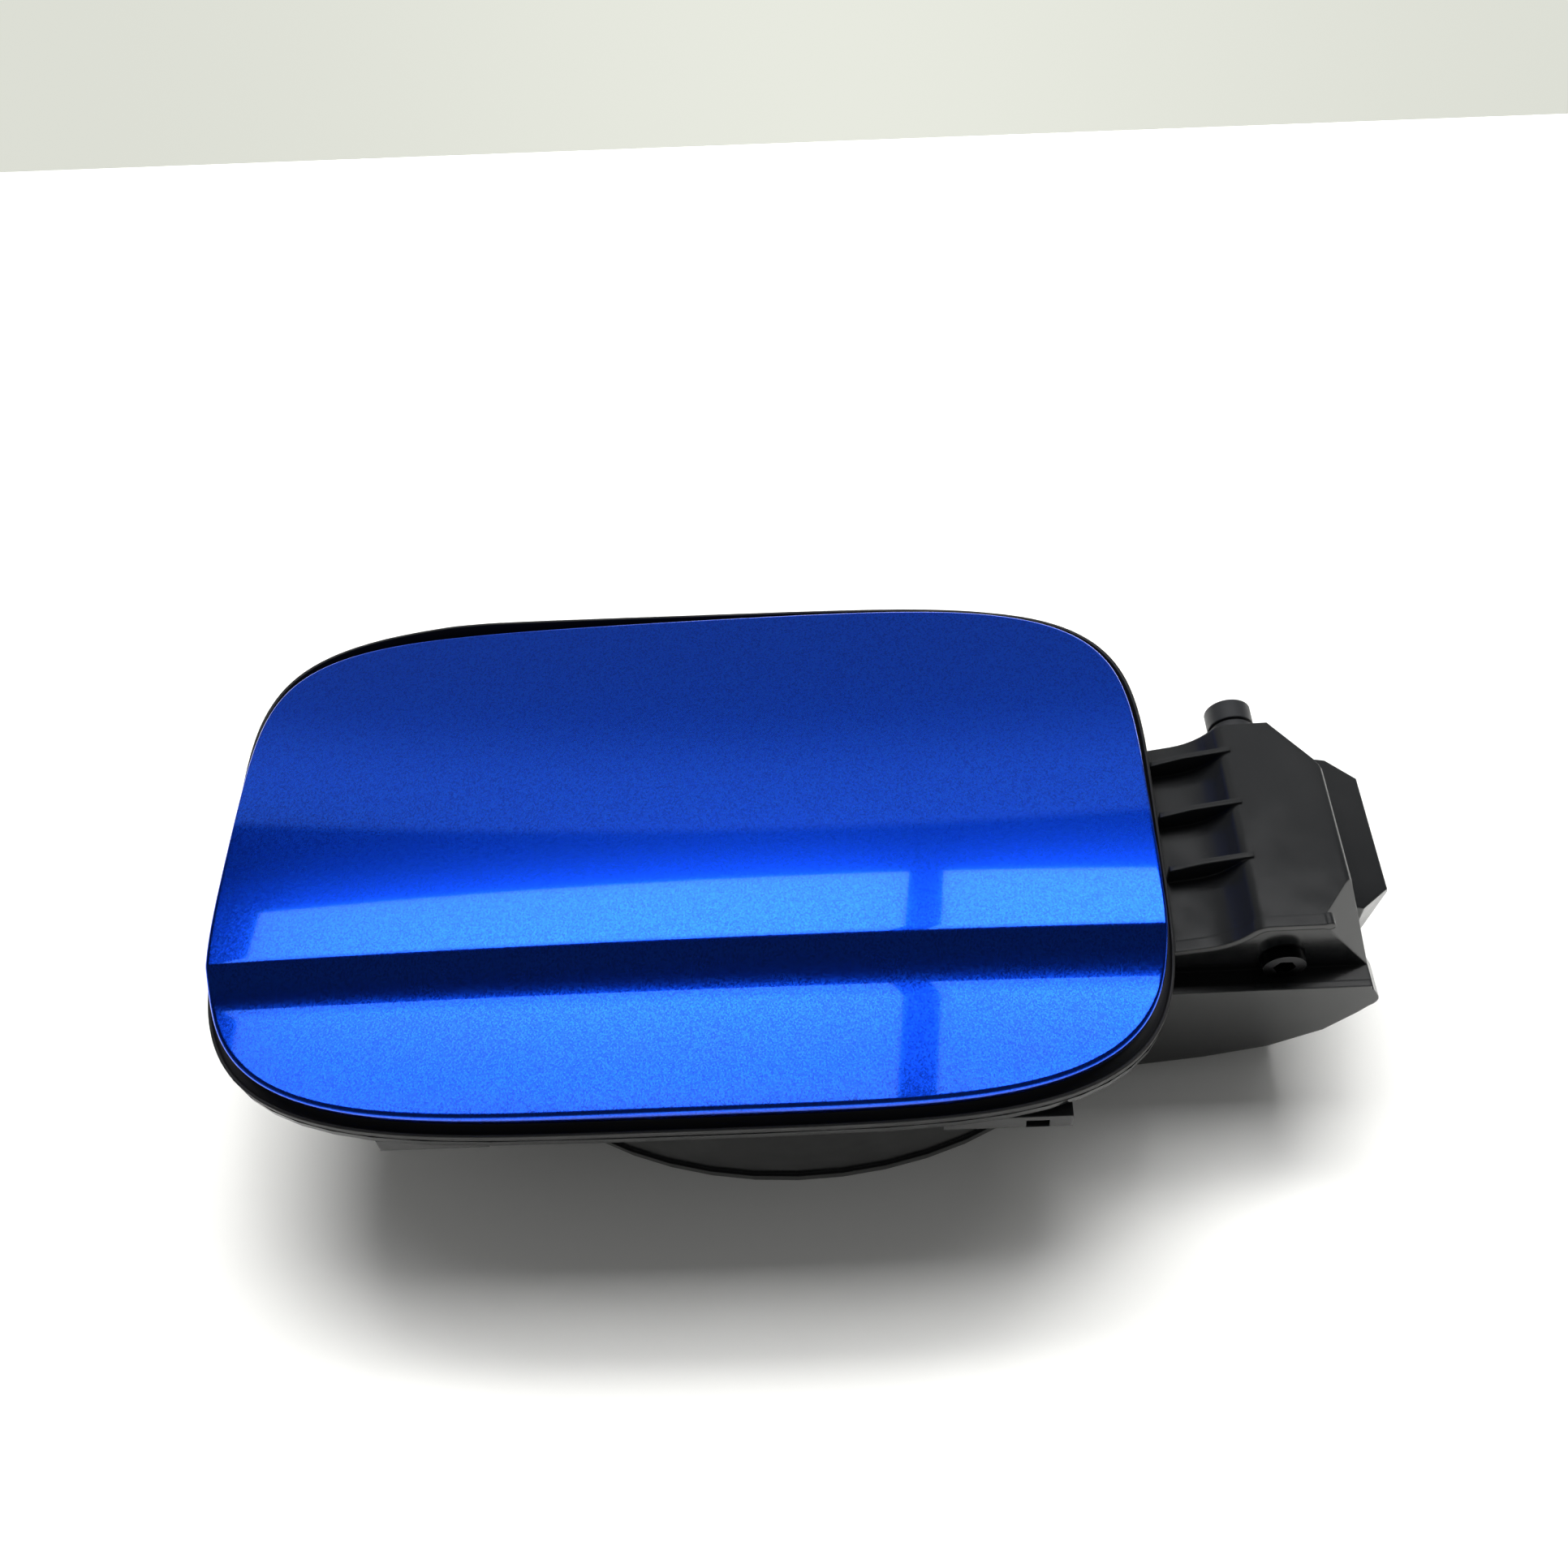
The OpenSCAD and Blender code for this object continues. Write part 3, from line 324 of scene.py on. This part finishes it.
# section front to back: three arcs, joined at the crease by a small round, under the crown
def skinSection(tree, x, y):
    d = doorSkin
    tilt, stepSlope, lowSlope, edgeSlope = [math.radians(d[name]) for name in
        ("rimTilt", "stepSlope", "lowSlope", "edgeSlope")]
    behind = d["height"] - d["creaseIn"]
    hollowRadius = d["stepLength"] / (math.sin(stepSlope) - math.sin(lowSlope))
    hollowDrop = hollowRadius * (math.cos(lowSlope) - math.cos(stepSlope))
    lowRadius = (d["creaseIn"] - d["stepLength"]) / (math.sin(edgeSlope) - math.sin(lowSlope))

    faceY = add(tree, "ShaderNodeMath", {0: y, 1: math.cos(tilt),
        2: -d["faceLevel"] * math.sin(tilt) - creaseY}, operation="MULTIPLY_ADD")
    bowed = arcNodes(tree, faceY, behind / 2, d["bow"], -math.sqrt(d["bow"] ** 2 - (behind / 2) ** 2), 1.0)
    # the step widens towards the hinge
    squeeze = add(tree, "ShaderNodeMapRange", {"Value": x, "From Min": -d["width"] / 2,
        "From Max": d["width"] / 2, "To Min": 1.0, "To Max": d["stepSqueeze"]})
    squeezed = add(tree, "ShaderNodeMath", {0: faceY, 1: squeeze}, operation="MULTIPLY")
    longer = add(tree, "ShaderNodeMath", {0: d["stepLength"], 1: squeeze}, operation="DIVIDE")
    past = add(tree, "ShaderNodeMath", {0: faceY, 1: longer}, operation="ADD")
    beyond = add(tree, "ShaderNodeMath", {0: past, 1: d["stepLength"]}, operation="SUBTRACT")
    stepY = add(tree, "ShaderNodeMath", {0: squeezed, 1: beyond}, operation="MINIMUM")
    hollow = arcNodes(tree, stepY, -hollowRadius * math.sin(stepSlope), hollowRadius,
        hollowRadius * math.cos(stepSlope), -1.0)
    low = arcNodes(tree, stepY, lowRadius * math.sin(lowSlope) - d["stepLength"], lowRadius,
        -hollowDrop - lowRadius * math.cos(lowSlope), 1.0)
    pastStep = add(tree, "FunctionNodeCompare", {"A": stepY, "B": -d["stepLength"]}, operation="LESS_THAN")
    front = add(tree, "GeometryNodeSwitch", {0: pastStep, 1: hollow, 2: low}, input_type="FLOAT")
    section = add(tree, "ShaderNodeMath", {0: bowed, 1: front, 2: d["creaseRound"]}, operation="SMOOTH_MIN")
    crown = arcNodes(tree, x, 0.0, d["crown"], -d["crown"], 1.0)
    return faceY, add(tree, "ShaderNodeMath", {0: section, 1: crown}, operation="ADD")


# how far the rolled edge falls, from how far inside the outline a point lies
def edgeFall(tree, x, y, fullness, halves, roll):
    powers = []
    slopes = []
    for along, half in zip((x, y), halves):
        ratio = add(tree, "ShaderNodeMath", {0: along, 1: half}, operation="DIVIDE")
        size = add(tree, "ShaderNodeMath", {0: ratio}, operation="ABSOLUTE")
        powers.append(add(tree, "ShaderNodeMath", {0: size, 1: fullness}, operation="POWER"))
        slopes.append(add(tree, "ShaderNodeMath", {0: powers[-1], 1: half}, operation="DIVIDE"))
    inside = add(tree, "ShaderNodeMath", {0: powers[0], 1: powers[1]}, operation="ADD")
    room = add(tree, "ShaderNodeMath", {0: 1.0, 1: inside}, operation="SUBTRACT")
    slope = add(tree, "ShaderNodeMath", {0: slopes[0], 1: slopes[1]}, operation="ADD")
    # a hair more than nothing, since the slope is 0 in the middle
    steep = add(tree, "ShaderNodeMath", {0: slope, 1: fullness, 2: 0.00001}, operation="MULTIPLY_ADD")
    inset = add(tree, "ShaderNodeMath", {0: room, 1: steep}, operation="DIVIDE")
    kept = add(tree, "ShaderNodeClamp", {0: inset, 1: 0.0, 2: roll})
    reach = add(tree, "ShaderNodeMath", {0: roll, 1: kept}, operation="SUBTRACT")
    reachSquare = add(tree, "ShaderNodeMath", {0: reach, 1: reach}, operation="MULTIPLY")
    rollSquare = add(tree, "ShaderNodeMath", {0: roll, 1: roll}, operation="MULTIPLY")
    left = add(tree, "ShaderNodeMath", {0: rollSquare, 1: reachSquare}, operation="SUBTRACT")
    positive = add(tree, "ShaderNodeMath", {0: left, 1: 0.0}, operation="MAXIMUM")
    height = add(tree, "ShaderNodeMath", {0: positive}, operation="SQRT")
    return add(tree, "ShaderNodeMath", {0: roll, 1: height}, operation="SUBTRACT")


# the edge is turned down to the rim plane, then folded in as the hem
def foldEdge(tree, face, halves, hem):
    place = add(tree, "GeometryNodeInputNamedAttribute", {"Name": "rimPlace"}, data_type="FLOAT_VECTOR")
    down = add(tree, "ShaderNodeSeparateXYZ", {0: place}).outputs[:2]
    folded = []
    for along, half in zip(down, halves):
        taken = add(tree, "ShaderNodeMath", {0: hem, 1: half}, operation="DIVIDE")
        share = add(tree, "ShaderNodeMath", {0: 1.0, 1: taken}, operation="SUBTRACT")
        folded.append(add(tree, "ShaderNodeMath", {0: along, 1: share}, operation="MULTIPLY"))
    edge = add(tree, "GeometryNodeInputMeshEdgeNeighbors")
    free = add(tree, "FunctionNodeCompare", {"A": edge, "B": 1}, data_type="INT", operation="EQUAL")
    shape = face
    for x, y in (down, folded):
        pulled = add(tree, "GeometryNodeExtrudeMesh", {"Mesh": shape, "Selection": free, "Offset Scale": 0.0},
            mode="EDGES")
        shape = add(tree, "GeometryNodeSetPosition", {"Geometry": pulled,
            "Selection": pulled.outputs["Top"], "Position": rimPoint(tree, x, y, doorSkin["gap"])})
    return shape


def makeDoorSkin():
    d = doorSkin
    sizes = {name: d[name] for name in ("width", "height", "roll", "hem")}
    tree, given = newTree("door skin", sizes)
    halves = [add(tree, "ShaderNodeMath", {0: given[name], 1: 0.5}, operation="MULTIPLY")
        for name in ("width", "height")]
    grid, x, y, fullness = skinGrid(tree, halves)
    faceY, level = skinSection(tree, x, y)
    fall = edgeFall(tree, x, y, fullness, halves, given["roll"])
    rolled = add(tree, "ShaderNodeMath", {0: level, 1: fall}, operation="SUBTRACT")
    worldX = add(tree, "ShaderNodeMath", {0: x, 1: d["middleX"]}, operation="ADD")
    worldY = add(tree, "ShaderNodeMath", {0: faceY, 1: d["middleY"] + creaseY}, operation="ADD")
    worldZ = add(tree, "ShaderNodeMath", {0: rolled, 1: d["ridgeZ"]}, operation="ADD")
    point = add(tree, "ShaderNodeCombineXYZ", {0: worldX, 1: worldY, 2: worldZ})
    # each point keeps its place in the rim plane, for the folds
    flat = add(tree, "ShaderNodeCombineXYZ", {0: x, 1: y, 2: 0.0})
    marked = add(tree, "GeometryNodeStoreNamedAttribute", {"Geometry": grid, "Name": "rimPlace",
        "Value": flat}, data_type="FLOAT_VECTOR", domain="POINT")
    face = add(tree, "GeometryNodeSetPosition", {"Geometry": marked, "Position": point})
    finishTree(tree, foldEdge(tree, face, halves, given["hem"]), bluePaint)
    skin = growPiece("door_skin_pressed", tree, sizes)
    wall = skin.modifiers.new("sheet", "SOLIDIFY")
    wall.thickness = d["sheet"] * mm
    wall.offset = -1
    return skin


skin = makeDoorSkin()
smoothPiece(skin, doorSkin["sharp"])
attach(skin, "door")
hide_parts("door_skin")
print("  skin", len(skin.data.polygons), [round(v, 4) for v in skin.dimensions])


print("rim seal")

# Sponge section swept round the door: distance out from the door's edge, height against the rim
# plane, share of the lip's rise. The outer lip stands up behind the door, lower towards both ends,
# and lies low in front. Its rise grows from riseFront to riseBack along the door, and changes
# between the two left and the two right places across it.
rimSeal = {"section": ((1.7, -3.4, 0), (2.7, -3.4, 0), (2.8, -2.8, 0), (2.8, -1.5, 0.1), (2.75, -1.3, 0.9),
    (2.6, -1.2, 1), (2.1, -1.2, 1), (2.0, -1.35, 0.85), (1.95, -2.0, 0.1), (1.7, -2.25, 0),
    (-1.2, -2.25, 0), (-1.55, -1.9, 0), (-1.65, -0.5, 0), (-1.85, -0.1, 0), (-2.4, -0.02, 0),
    (-2.95, -0.15, 0), (-3.15, -0.6, 0), (-3.2, -1.9, 0), (-3.45, -2.25, 0), (-4.0, -2.4, 0),
    (-4.0, -3.4, 0)), "around": 300, "slimShare": 0.75, "slimFront": -0.3, "slimBack": 0.6,
    "rise": 5.5, "riseFront": -35, "riseBack": 50, "leftShare": 0.45, "leftFrom": -97, "leftTo": -55,
    "rightShare": 0.3, "rightFrom": -47, "rightTo": 70, "weld": 0.0001, "sharp": 60}


# how far the outer lip stands up at each place round the door
def lipRise(tree, x, y, rise):
    seal = rimSeal
    behind = add(tree, "ShaderNodeMapRange", {"Value": y, "From Min": seal["riseFront"],
        "From Max": seal["riseBack"]}, interpolation_type="SMOOTHSTEP")
    atLeft = add(tree, "ShaderNodeMapRange", {"Value": x, "From Min": seal["leftFrom"],
        "From Max": seal["leftTo"], "To Min": seal["leftShare"], "To Max": 1.0})
    atRight = add(tree, "ShaderNodeMapRange", {"Value": x, "From Min": seal["rightFrom"],
        "From Max": seal["rightTo"], "To Min": 1.0, "To Max": seal["rightShare"]})
    for share in (behind, atRight, atLeft):
        rise = add(tree, "ShaderNodeMath", {0: share, 1: rise}, operation="MULTIPLY")
    return rise


def makeRimSeal():
    seal = rimSeal
    count = len(seal["section"])
    sizes = {"width": doorSkin["width"], "height": doorSkin["height"], "rise": seal["rise"]}
    tree, given = newTree("rim seal", sizes)
    grid = add(tree, "GeometryNodeMeshGrid", {"Vertices X": seal["around"] + 1, "Vertices Y": count + 1})
    index = add(tree, "GeometryNodeInputIndex")
    across = add(tree, "ShaderNodeMath", {0: index, 1: count + 1}, operation="MODULO")
    along = add(tree, "ShaderNodeMath", {0: index, 1: count + 1}, operation="DIVIDE")
    step = add(tree, "ShaderNodeMath", {0: along}, operation="FLOOR")
    section = add(tree, "GeometryNodeIndexSwitch", {"Index": across}, data_type="VECTOR")
    while len(section.index_switch_items) < count + 1:
        section.index_switch_items.new()
    for i in range(count + 1):
        section.inputs[i + 1].default_value = seal["section"][i % count]
    out, level, share = add(tree, "ShaderNodeSeparateXYZ", {0: section}).outputs

    # round the outline as round a square, whose sides become the door's
    angle = add(tree, "ShaderNodeMath", {0: step, 1: 2 * math.pi / seal["around"]}, operation="MULTIPLY")
    cosine = add(tree, "ShaderNodeMath", {0: angle}, operation="COSINE")
    sine = add(tree, "ShaderNodeMath", {0: angle}, operation="SINE")
    sides = [add(tree, "ShaderNodeMath", {0: way}, operation="ABSOLUTE") for way in (cosine, sine)]
    largest = add(tree, "ShaderNodeMath", {0: sides[0], 1: sides[1]}, operation="MAXIMUM")
    u = add(tree, "ShaderNodeMath", {0: cosine, 1: largest}, operation="DIVIDE")
    v = add(tree, "ShaderNodeMath", {0: sine, 1: largest}, operation="DIVIDE")
    # it is slimmer in front than at the back
    slimmer = add(tree, "ShaderNodeMapRange", {"Value": sine, "From Min": seal["slimFront"],
        "From Max": seal["slimBack"], "To Min": seal["slimShare"], "To Max": 1.0},
        interpolation_type="SMOOTHSTEP")
    out = add(tree, "ShaderNodeMath", {0: out, 1: slimmer}, operation="MULTIPLY")
    halves = [add(tree, "ShaderNodeMath", {0: given[name], 1: 0.5, 2: out}, operation="MULTIPLY_ADD")
        for name in ("width", "height")]
    x, y, fullness = outlineNodes(tree, u, v, halves)
    rise = lipRise(tree, x, y, given["rise"])
    above = add(tree, "ShaderNodeMath", {0: rise, 1: share, 2: level}, operation="MULTIPLY_ADD")
    moved = add(tree, "GeometryNodeSetPosition", {"Geometry": grid,
        "Position": rimPoint(tree, x, y, above)})
    closed = add(tree, "GeometryNodeMergeByDistance", {"Geometry": moved, "Distance": seal["weld"]})
    finishTree(tree, closed, rubber)
    piece = growPiece("rim_seal_sponge", tree, sizes)
    outwards(piece)
    return piece


seal = makeRimSeal()
smoothPiece(seal, rimSeal["sharp"])
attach(seal, "pocket")
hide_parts("rim_seal")
print("  seal", len(seal.data.polygons), [round(v, 4) for v in seal.dimensions])


print("latch spring")

# Compression spring with closed ends, in the latch body under the plunger's collar. Its wire and
# coil are radii in millimetres.
latchSpring = {"wire": 0.55, "coil": 4.6, "turns": 6.0, "endTurns": 1.0, "steps": 32, "sides": 12,
    "sharp": 60}


def makeLatchSpring():
    spring = latchSpring
    low, high = boxOf(nodes["latch_spring"])
    sizes = {"coil": spring["coil"], "wire": spring["wire"],
        "length": (high[2] - low[2]) / mm - 2 * spring["wire"]}
    tree, given = newTree("latch spring", sizes)
    total = spring["turns"] + 2 * spring["endTurns"]
    line = add(tree, "GeometryNodeCurvePrimitiveLine", {"End": (0.0, 0.0, 1.0)})
    points = add(tree, "GeometryNodeResampleCurve", {"Curve": line,
        "Count": int(total * spring["steps"]) + 1})
    factor = add(tree, "GeometryNodeSplineParameter")
    # the end turns lie flat, the others climb evenly
    climb = add(tree, "ShaderNodeMapRange", {"Value": factor, "From Min": spring["endTurns"] / total,
        "From Max": 1 - spring["endTurns"] / total, "To Max": given["length"]})
    angle = add(tree, "ShaderNodeMath", {0: factor, 1: total * 2 * math.pi}, operation="MULTIPLY")
    cosine = add(tree, "ShaderNodeMath", {0: angle}, operation="COSINE")
    sine = add(tree, "ShaderNodeMath", {0: angle}, operation="SINE")
    x = add(tree, "ShaderNodeMath", {0: cosine, 1: given["coil"]}, operation="MULTIPLY")
    y = add(tree, "ShaderNodeMath", {0: sine, 1: given["coil"]}, operation="MULTIPLY")
    place = add(tree, "ShaderNodeCombineXYZ", {0: x, 1: y, 2: climb})
    helix = add(tree, "GeometryNodeSetPosition", {"Geometry": points, "Position": place})
    wire = add(tree, "GeometryNodeCurvePrimitiveCircle", {"Resolution": spring["sides"],
        "Radius": given["wire"]})
    tube = add(tree, "GeometryNodeCurveToMesh", {"Curve": helix, "Profile Curve": wire,
        "Fill Caps": True})
    middle = [(low[i] + high[i]) / 2 / mm for i in (0, 1)]
    seated = add(tree, "GeometryNodeTransform", {"Geometry": tube,
        "Translation": (middle[0], middle[1], low[2] / mm + spring["wire"])})
    finishTree(tree, seated, springSteel)
    piece = growPiece("latch_spring_wire", tree, sizes)
    outwards(piece)
    return piece


coil = makeLatchSpring()
smoothPiece(coil, latchSpring["sharp"])
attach(coil, "pocket")
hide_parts("latch_spring")
print("  spring", len(coil.data.polygons), [round(v, 4) for v in coil.dimensions])


print("housing")

plainLook = {"sharp": 32, "weld": 0.002}  # degrees, and millimetres between points that are one


# a copy of a CAD piece with its faces joined, so that a curved wall shades as one
def joinedCopy(node, name, material):
    mesh = node.data.copy()
    mesh.name = name
    mesh.transform(node.matrix_world)
    form = bmesh.new()
    form.from_mesh(mesh)
    bmesh.ops.remove_doubles(form, verts=form.verts, dist=plainLook["weld"] * mm)
    form.to_mesh(mesh)
    form.free()
    if "custom_normal" in mesh.attributes:
        mesh.attributes.remove(mesh.attributes["custom_normal"])
    mesh.materials.clear()
    mesh.materials.append(material)
    piece = bpy.data.objects.new(name, mesh)
    bpy.context.scene.collection.objects.link(piece)
    smoothPiece(piece, plainLook["sharp"])
    return piece


pocketShell = joinedCopy(nodes["housing"], "pocketShell", moulding)
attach(pocketShell, "pocket")
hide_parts("housing")
print("  housing", len(nodes["housing"].data.vertices), "to", len(pocketShell.data.vertices), "vertices")


print("finishes of the plain pieces")

finishes = {"inner_panel": bluePaint, "hinge_arm": armMoulding, "arm_screws": zincSteel,
    "arm_bushes": naturalAcetal, "latch_striker": armMoulding, "striker_screws": zincSteel,
    "cap_holder": armMoulding, "neck_seal": rubber, "hinge_pin": blackSteel, "pin_cap": armMoulding,
    "leaf_spring": springSteel, "stop_buffers": rubber, "latch_body": armMoulding,
    "latch_cover": armMoulding, "latch_wiper": rubber, "latch_screws": zincSteel,
    "latch_plunger": naturalAcetal, "latch_hammer": zincCasting}
for name, material in finishes.items():
    nodes[name].data.materials.clear()
    nodes[name].data.materials.append(material)
    smoothPiece(nodes[name], plainLook["sharp"])


print("floor, backdrop and lamps")

# A white table that ends in front of a pale wall, in a dim room; the wall is drawn darker towards its sides,
# as painted shade. Lengths in metres, angles in degrees, and the table is turned a little against the part.
studio = {"table": "#f6f6f3", "tableRoughness": 0.6, "tableReach": 2, "tableBack": 0.3542, "turn": -3.83,
    "wall": "#e4e6dc", "wallMiddle": 1.04, "wallSide": 0.93, "wallAside": 0.45, "ambient": 0.22}

# What the gloss mirrors of the room, by the x, y and z of its direction: how bright each part is,
# and where one part passes into the next.
mirrored = {"ceilingFront": 0.06, "ceilingGap": 0.02, "gapY": (-0.3, 0.3), "lampBackY": (0.505, 0.515),
    "ceilingBack": 0.55, "ceilingFar": 0.27, "farY": (0.56, 0.66), "walls": 0.8, "sideWalls": 0.2,
    "sideX": (0.3, 0.7), "frontWall": 0.25, "frontY": (-0.6, 0.0), "wallTopZ": (0.2, 0.5)}

# One wide softbox over the part's back, with a bar between its two panes, and a fill lamp at its
# back edge that isn't mirrored. Each pane lies between two of the x places.
softbox = {"z": 1.5, "front": 0.2, "back": 0.711, "frontX": (-0.89, 0.074, 0.127, 1.2),
    "backX": (-0.9, 0.115, 0.166, 1.2), "frontRadiance": 2.25, "backRadiance": 4.2, "glowFrom": 0.3,
    "dimLeft": 0.8, "dimTo": -0.3, "fillPower": 105.0, "fillSpread": 0.9, "fillBack": 0.65}


def makePane(name, corners, cloth):
    pane = bpy.data.objects.new(name, bpy.data.meshes.new(name))
    pane.data.from_pydata([(x, y, softbox["z"]) for x, y in corners], [], [(0, 1, 2, 3)])
    pane.data.materials.append(cloth)
    pane.visible_camera = False
    bpy.context.collection.objects.link(pane)


# brighter towards its back edge, as a window is towards the sky
def makeCloth():
    material, tree = newMaterial("lit cloth of the softbox")
    place = add(tree, "ShaderNodeTexCoord").outputs["Object"]
    across, along, up = add(tree, "ShaderNodeSeparateXYZ", {0: place}).outputs
    glow = add(tree, "ShaderNodeMapRange", {"Value": along, "From Min": softbox["glowFrom"],
        "From Max": softbox["back"], "To Min": softbox["frontRadiance"], "To Max": softbox["backRadiance"]})
    even = add(tree, "ShaderNodeMapRange", {"Value": across, "From Min": softbox["backX"][0],
        "From Max": softbox["dimTo"], "To Min": softbox["dimLeft"], "To Max": 1.0})
    both = add(tree, "ShaderNodeMath", {0: glow, 1: even}, operation="MULTIPLY")
    finishMaterial(tree, add(tree, "ShaderNodeEmission", {"Strength": both}))
    return material


# the room as the gloss mirrors it: bright walls, a dim ceiling, and dark towards the front
def roomLevel(tree, x, y, z):
    room = mirrored
    gap = add(tree, "ShaderNodeMapRange", {"Value": y, "From Min": room["gapY"][0],
        "From Max": room["gapY"][1], "To Min": room["ceilingFront"], "To Max": room["ceilingGap"]},
        interpolation_type="SMOOTHSTEP")
    back = add(tree, "ShaderNodeMapRange", {"Value": y, "From Min": room["farY"][0],
        "From Max": room["farY"][1], "To Min": room["ceilingBack"], "To Max": room["ceilingFar"]},
        interpolation_type="SMOOTHSTEP")
    ceiling = add(tree, "ShaderNodeMapRange", {"Value": y, "From Min": room["lampBackY"][0],
        "From Max": room["lampBackY"][1], "To Min": gap, "To Max": back})
    walls = add(tree, "ShaderNodeMapRange", {"Value": x, "From Min": room["sideX"][0],
        "From Max": room["sideX"][1], "To Min": room["walls"], "To Max": room["sideWalls"]},
        interpolation_type="SMOOTHSTEP")
    around = add(tree, "ShaderNodeMapRange", {"Value": y, "From Min": room["frontY"][0],
        "From Max": room["frontY"][1], "To Min": room["frontWall"], "To Max": walls},
        interpolation_type="SMOOTHSTEP")
    return add(tree, "ShaderNodeMapRange", {"Value": z, "From Min": room["wallTopZ"][0],
        "From Max": room["wallTopZ"][1], "To Min": around, "To Max": ceiling},
        interpolation_type="SMOOTHSTEP")


# the camera sees the pale wall, with painted shade towards its sides, the gloss mirrors the room, and all
# else gets an even light
def makeRoom():
    world = bpy.data.worlds.new("dim room")
    world.use_nodes = True
    tree = world.node_tree
    tree.nodes.clear()
    way = add(tree, "ShaderNodeTexCoord").outputs["Generated"]
    x, y, z = add(tree, "ShaderNodeSeparateXYZ", {0: way}).outputs
    sideways = add(tree, "ShaderNodeMath", {0: x}, operation="ABSOLUTE")
    white = (1, 1, 1, 1)
    room = add(tree, "ShaderNodeBackground", {"Color": white, "Strength": roomLevel(tree, sideways, y, z)})
    # painted shade: the wall that the camera sees grows darker towards its sides
    aside = add(tree, "ShaderNodeMapRange", {"Value": sideways, "From Max": studio["wallAside"],
        "To Min": studio["wallMiddle"], "To Max": studio["wallSide"]}, interpolation_type="SMOOTHSTEP")
    wall = add(tree, "ShaderNodeBackground", {"Color": hexColor(studio["wall"]), "Strength": aside})
    ambient = add(tree, "ShaderNodeBackground", {"Color": white, "Strength": studio["ambient"]})
    path = add(tree, "ShaderNodeLightPath").outputs
    light = add(tree, "ShaderNodeMixShader", {0: path["Is Glossy Ray"], 1: ambient, 2: room})
    both = add(tree, "ShaderNodeMixShader", {0: path["Is Camera Ray"], 1: light, 2: wall})
    add(tree, "ShaderNodeOutputWorld", {"Surface": both})
    bpy.context.scene.world = world


def makeTable():
    material, tree = newMaterial("matt white table")
    finishMaterial(tree, add(tree, "ShaderNodeBsdfPrincipled", {"Base Color": hexColor(studio["table"]),
        "Roughness": studio["tableRoughness"]}))
    table = bpy.data.objects.new("table", bpy.data.meshes.new("table"))
    turn = Matrix.Rotation(math.radians(studio["turn"]), 3, "Z")
    reach, back = studio["tableReach"], studio["tableBack"]
    corners = [turn @ Vector((x, y, 0)) for x, y in
        ((-reach, -reach), (reach, -reach), (reach, back), (-reach, back))]
    table.data.from_pydata(corners, [], [(0, 1, 2, 3)])
    table.data.materials.append(material)
    bpy.context.collection.objects.link(table)


def makeLamps():
    box = softbox
    cloth = makeCloth()
    for side, i in (("left", 0), ("right", 2)):
        corners = ((box["frontX"][i], box["front"]), (box["frontX"][i + 1], box["front"]),
            (box["backX"][i + 1], box["back"]), (box["backX"][i], box["back"]))
        makePane("softbox " + side, corners, cloth)
    fill = bpy.data.objects.new("fill", bpy.data.lights.new("fill", "AREA"))
    fill.data.shape = "RECTANGLE"
    fill.data.size = 2 * box["fillSpread"]
    fill.data.size_y = box["fillSpread"]
    fill.data.energy = box["fillPower"]
    fill.location = (0, box["fillBack"], box["z"])
    fill.visible_glossy = False
    bpy.context.collection.objects.link(fill)


makeTable()
makeLamps()
makeRoom()
bpy.context.scene.view_settings.view_transform = "Standard"
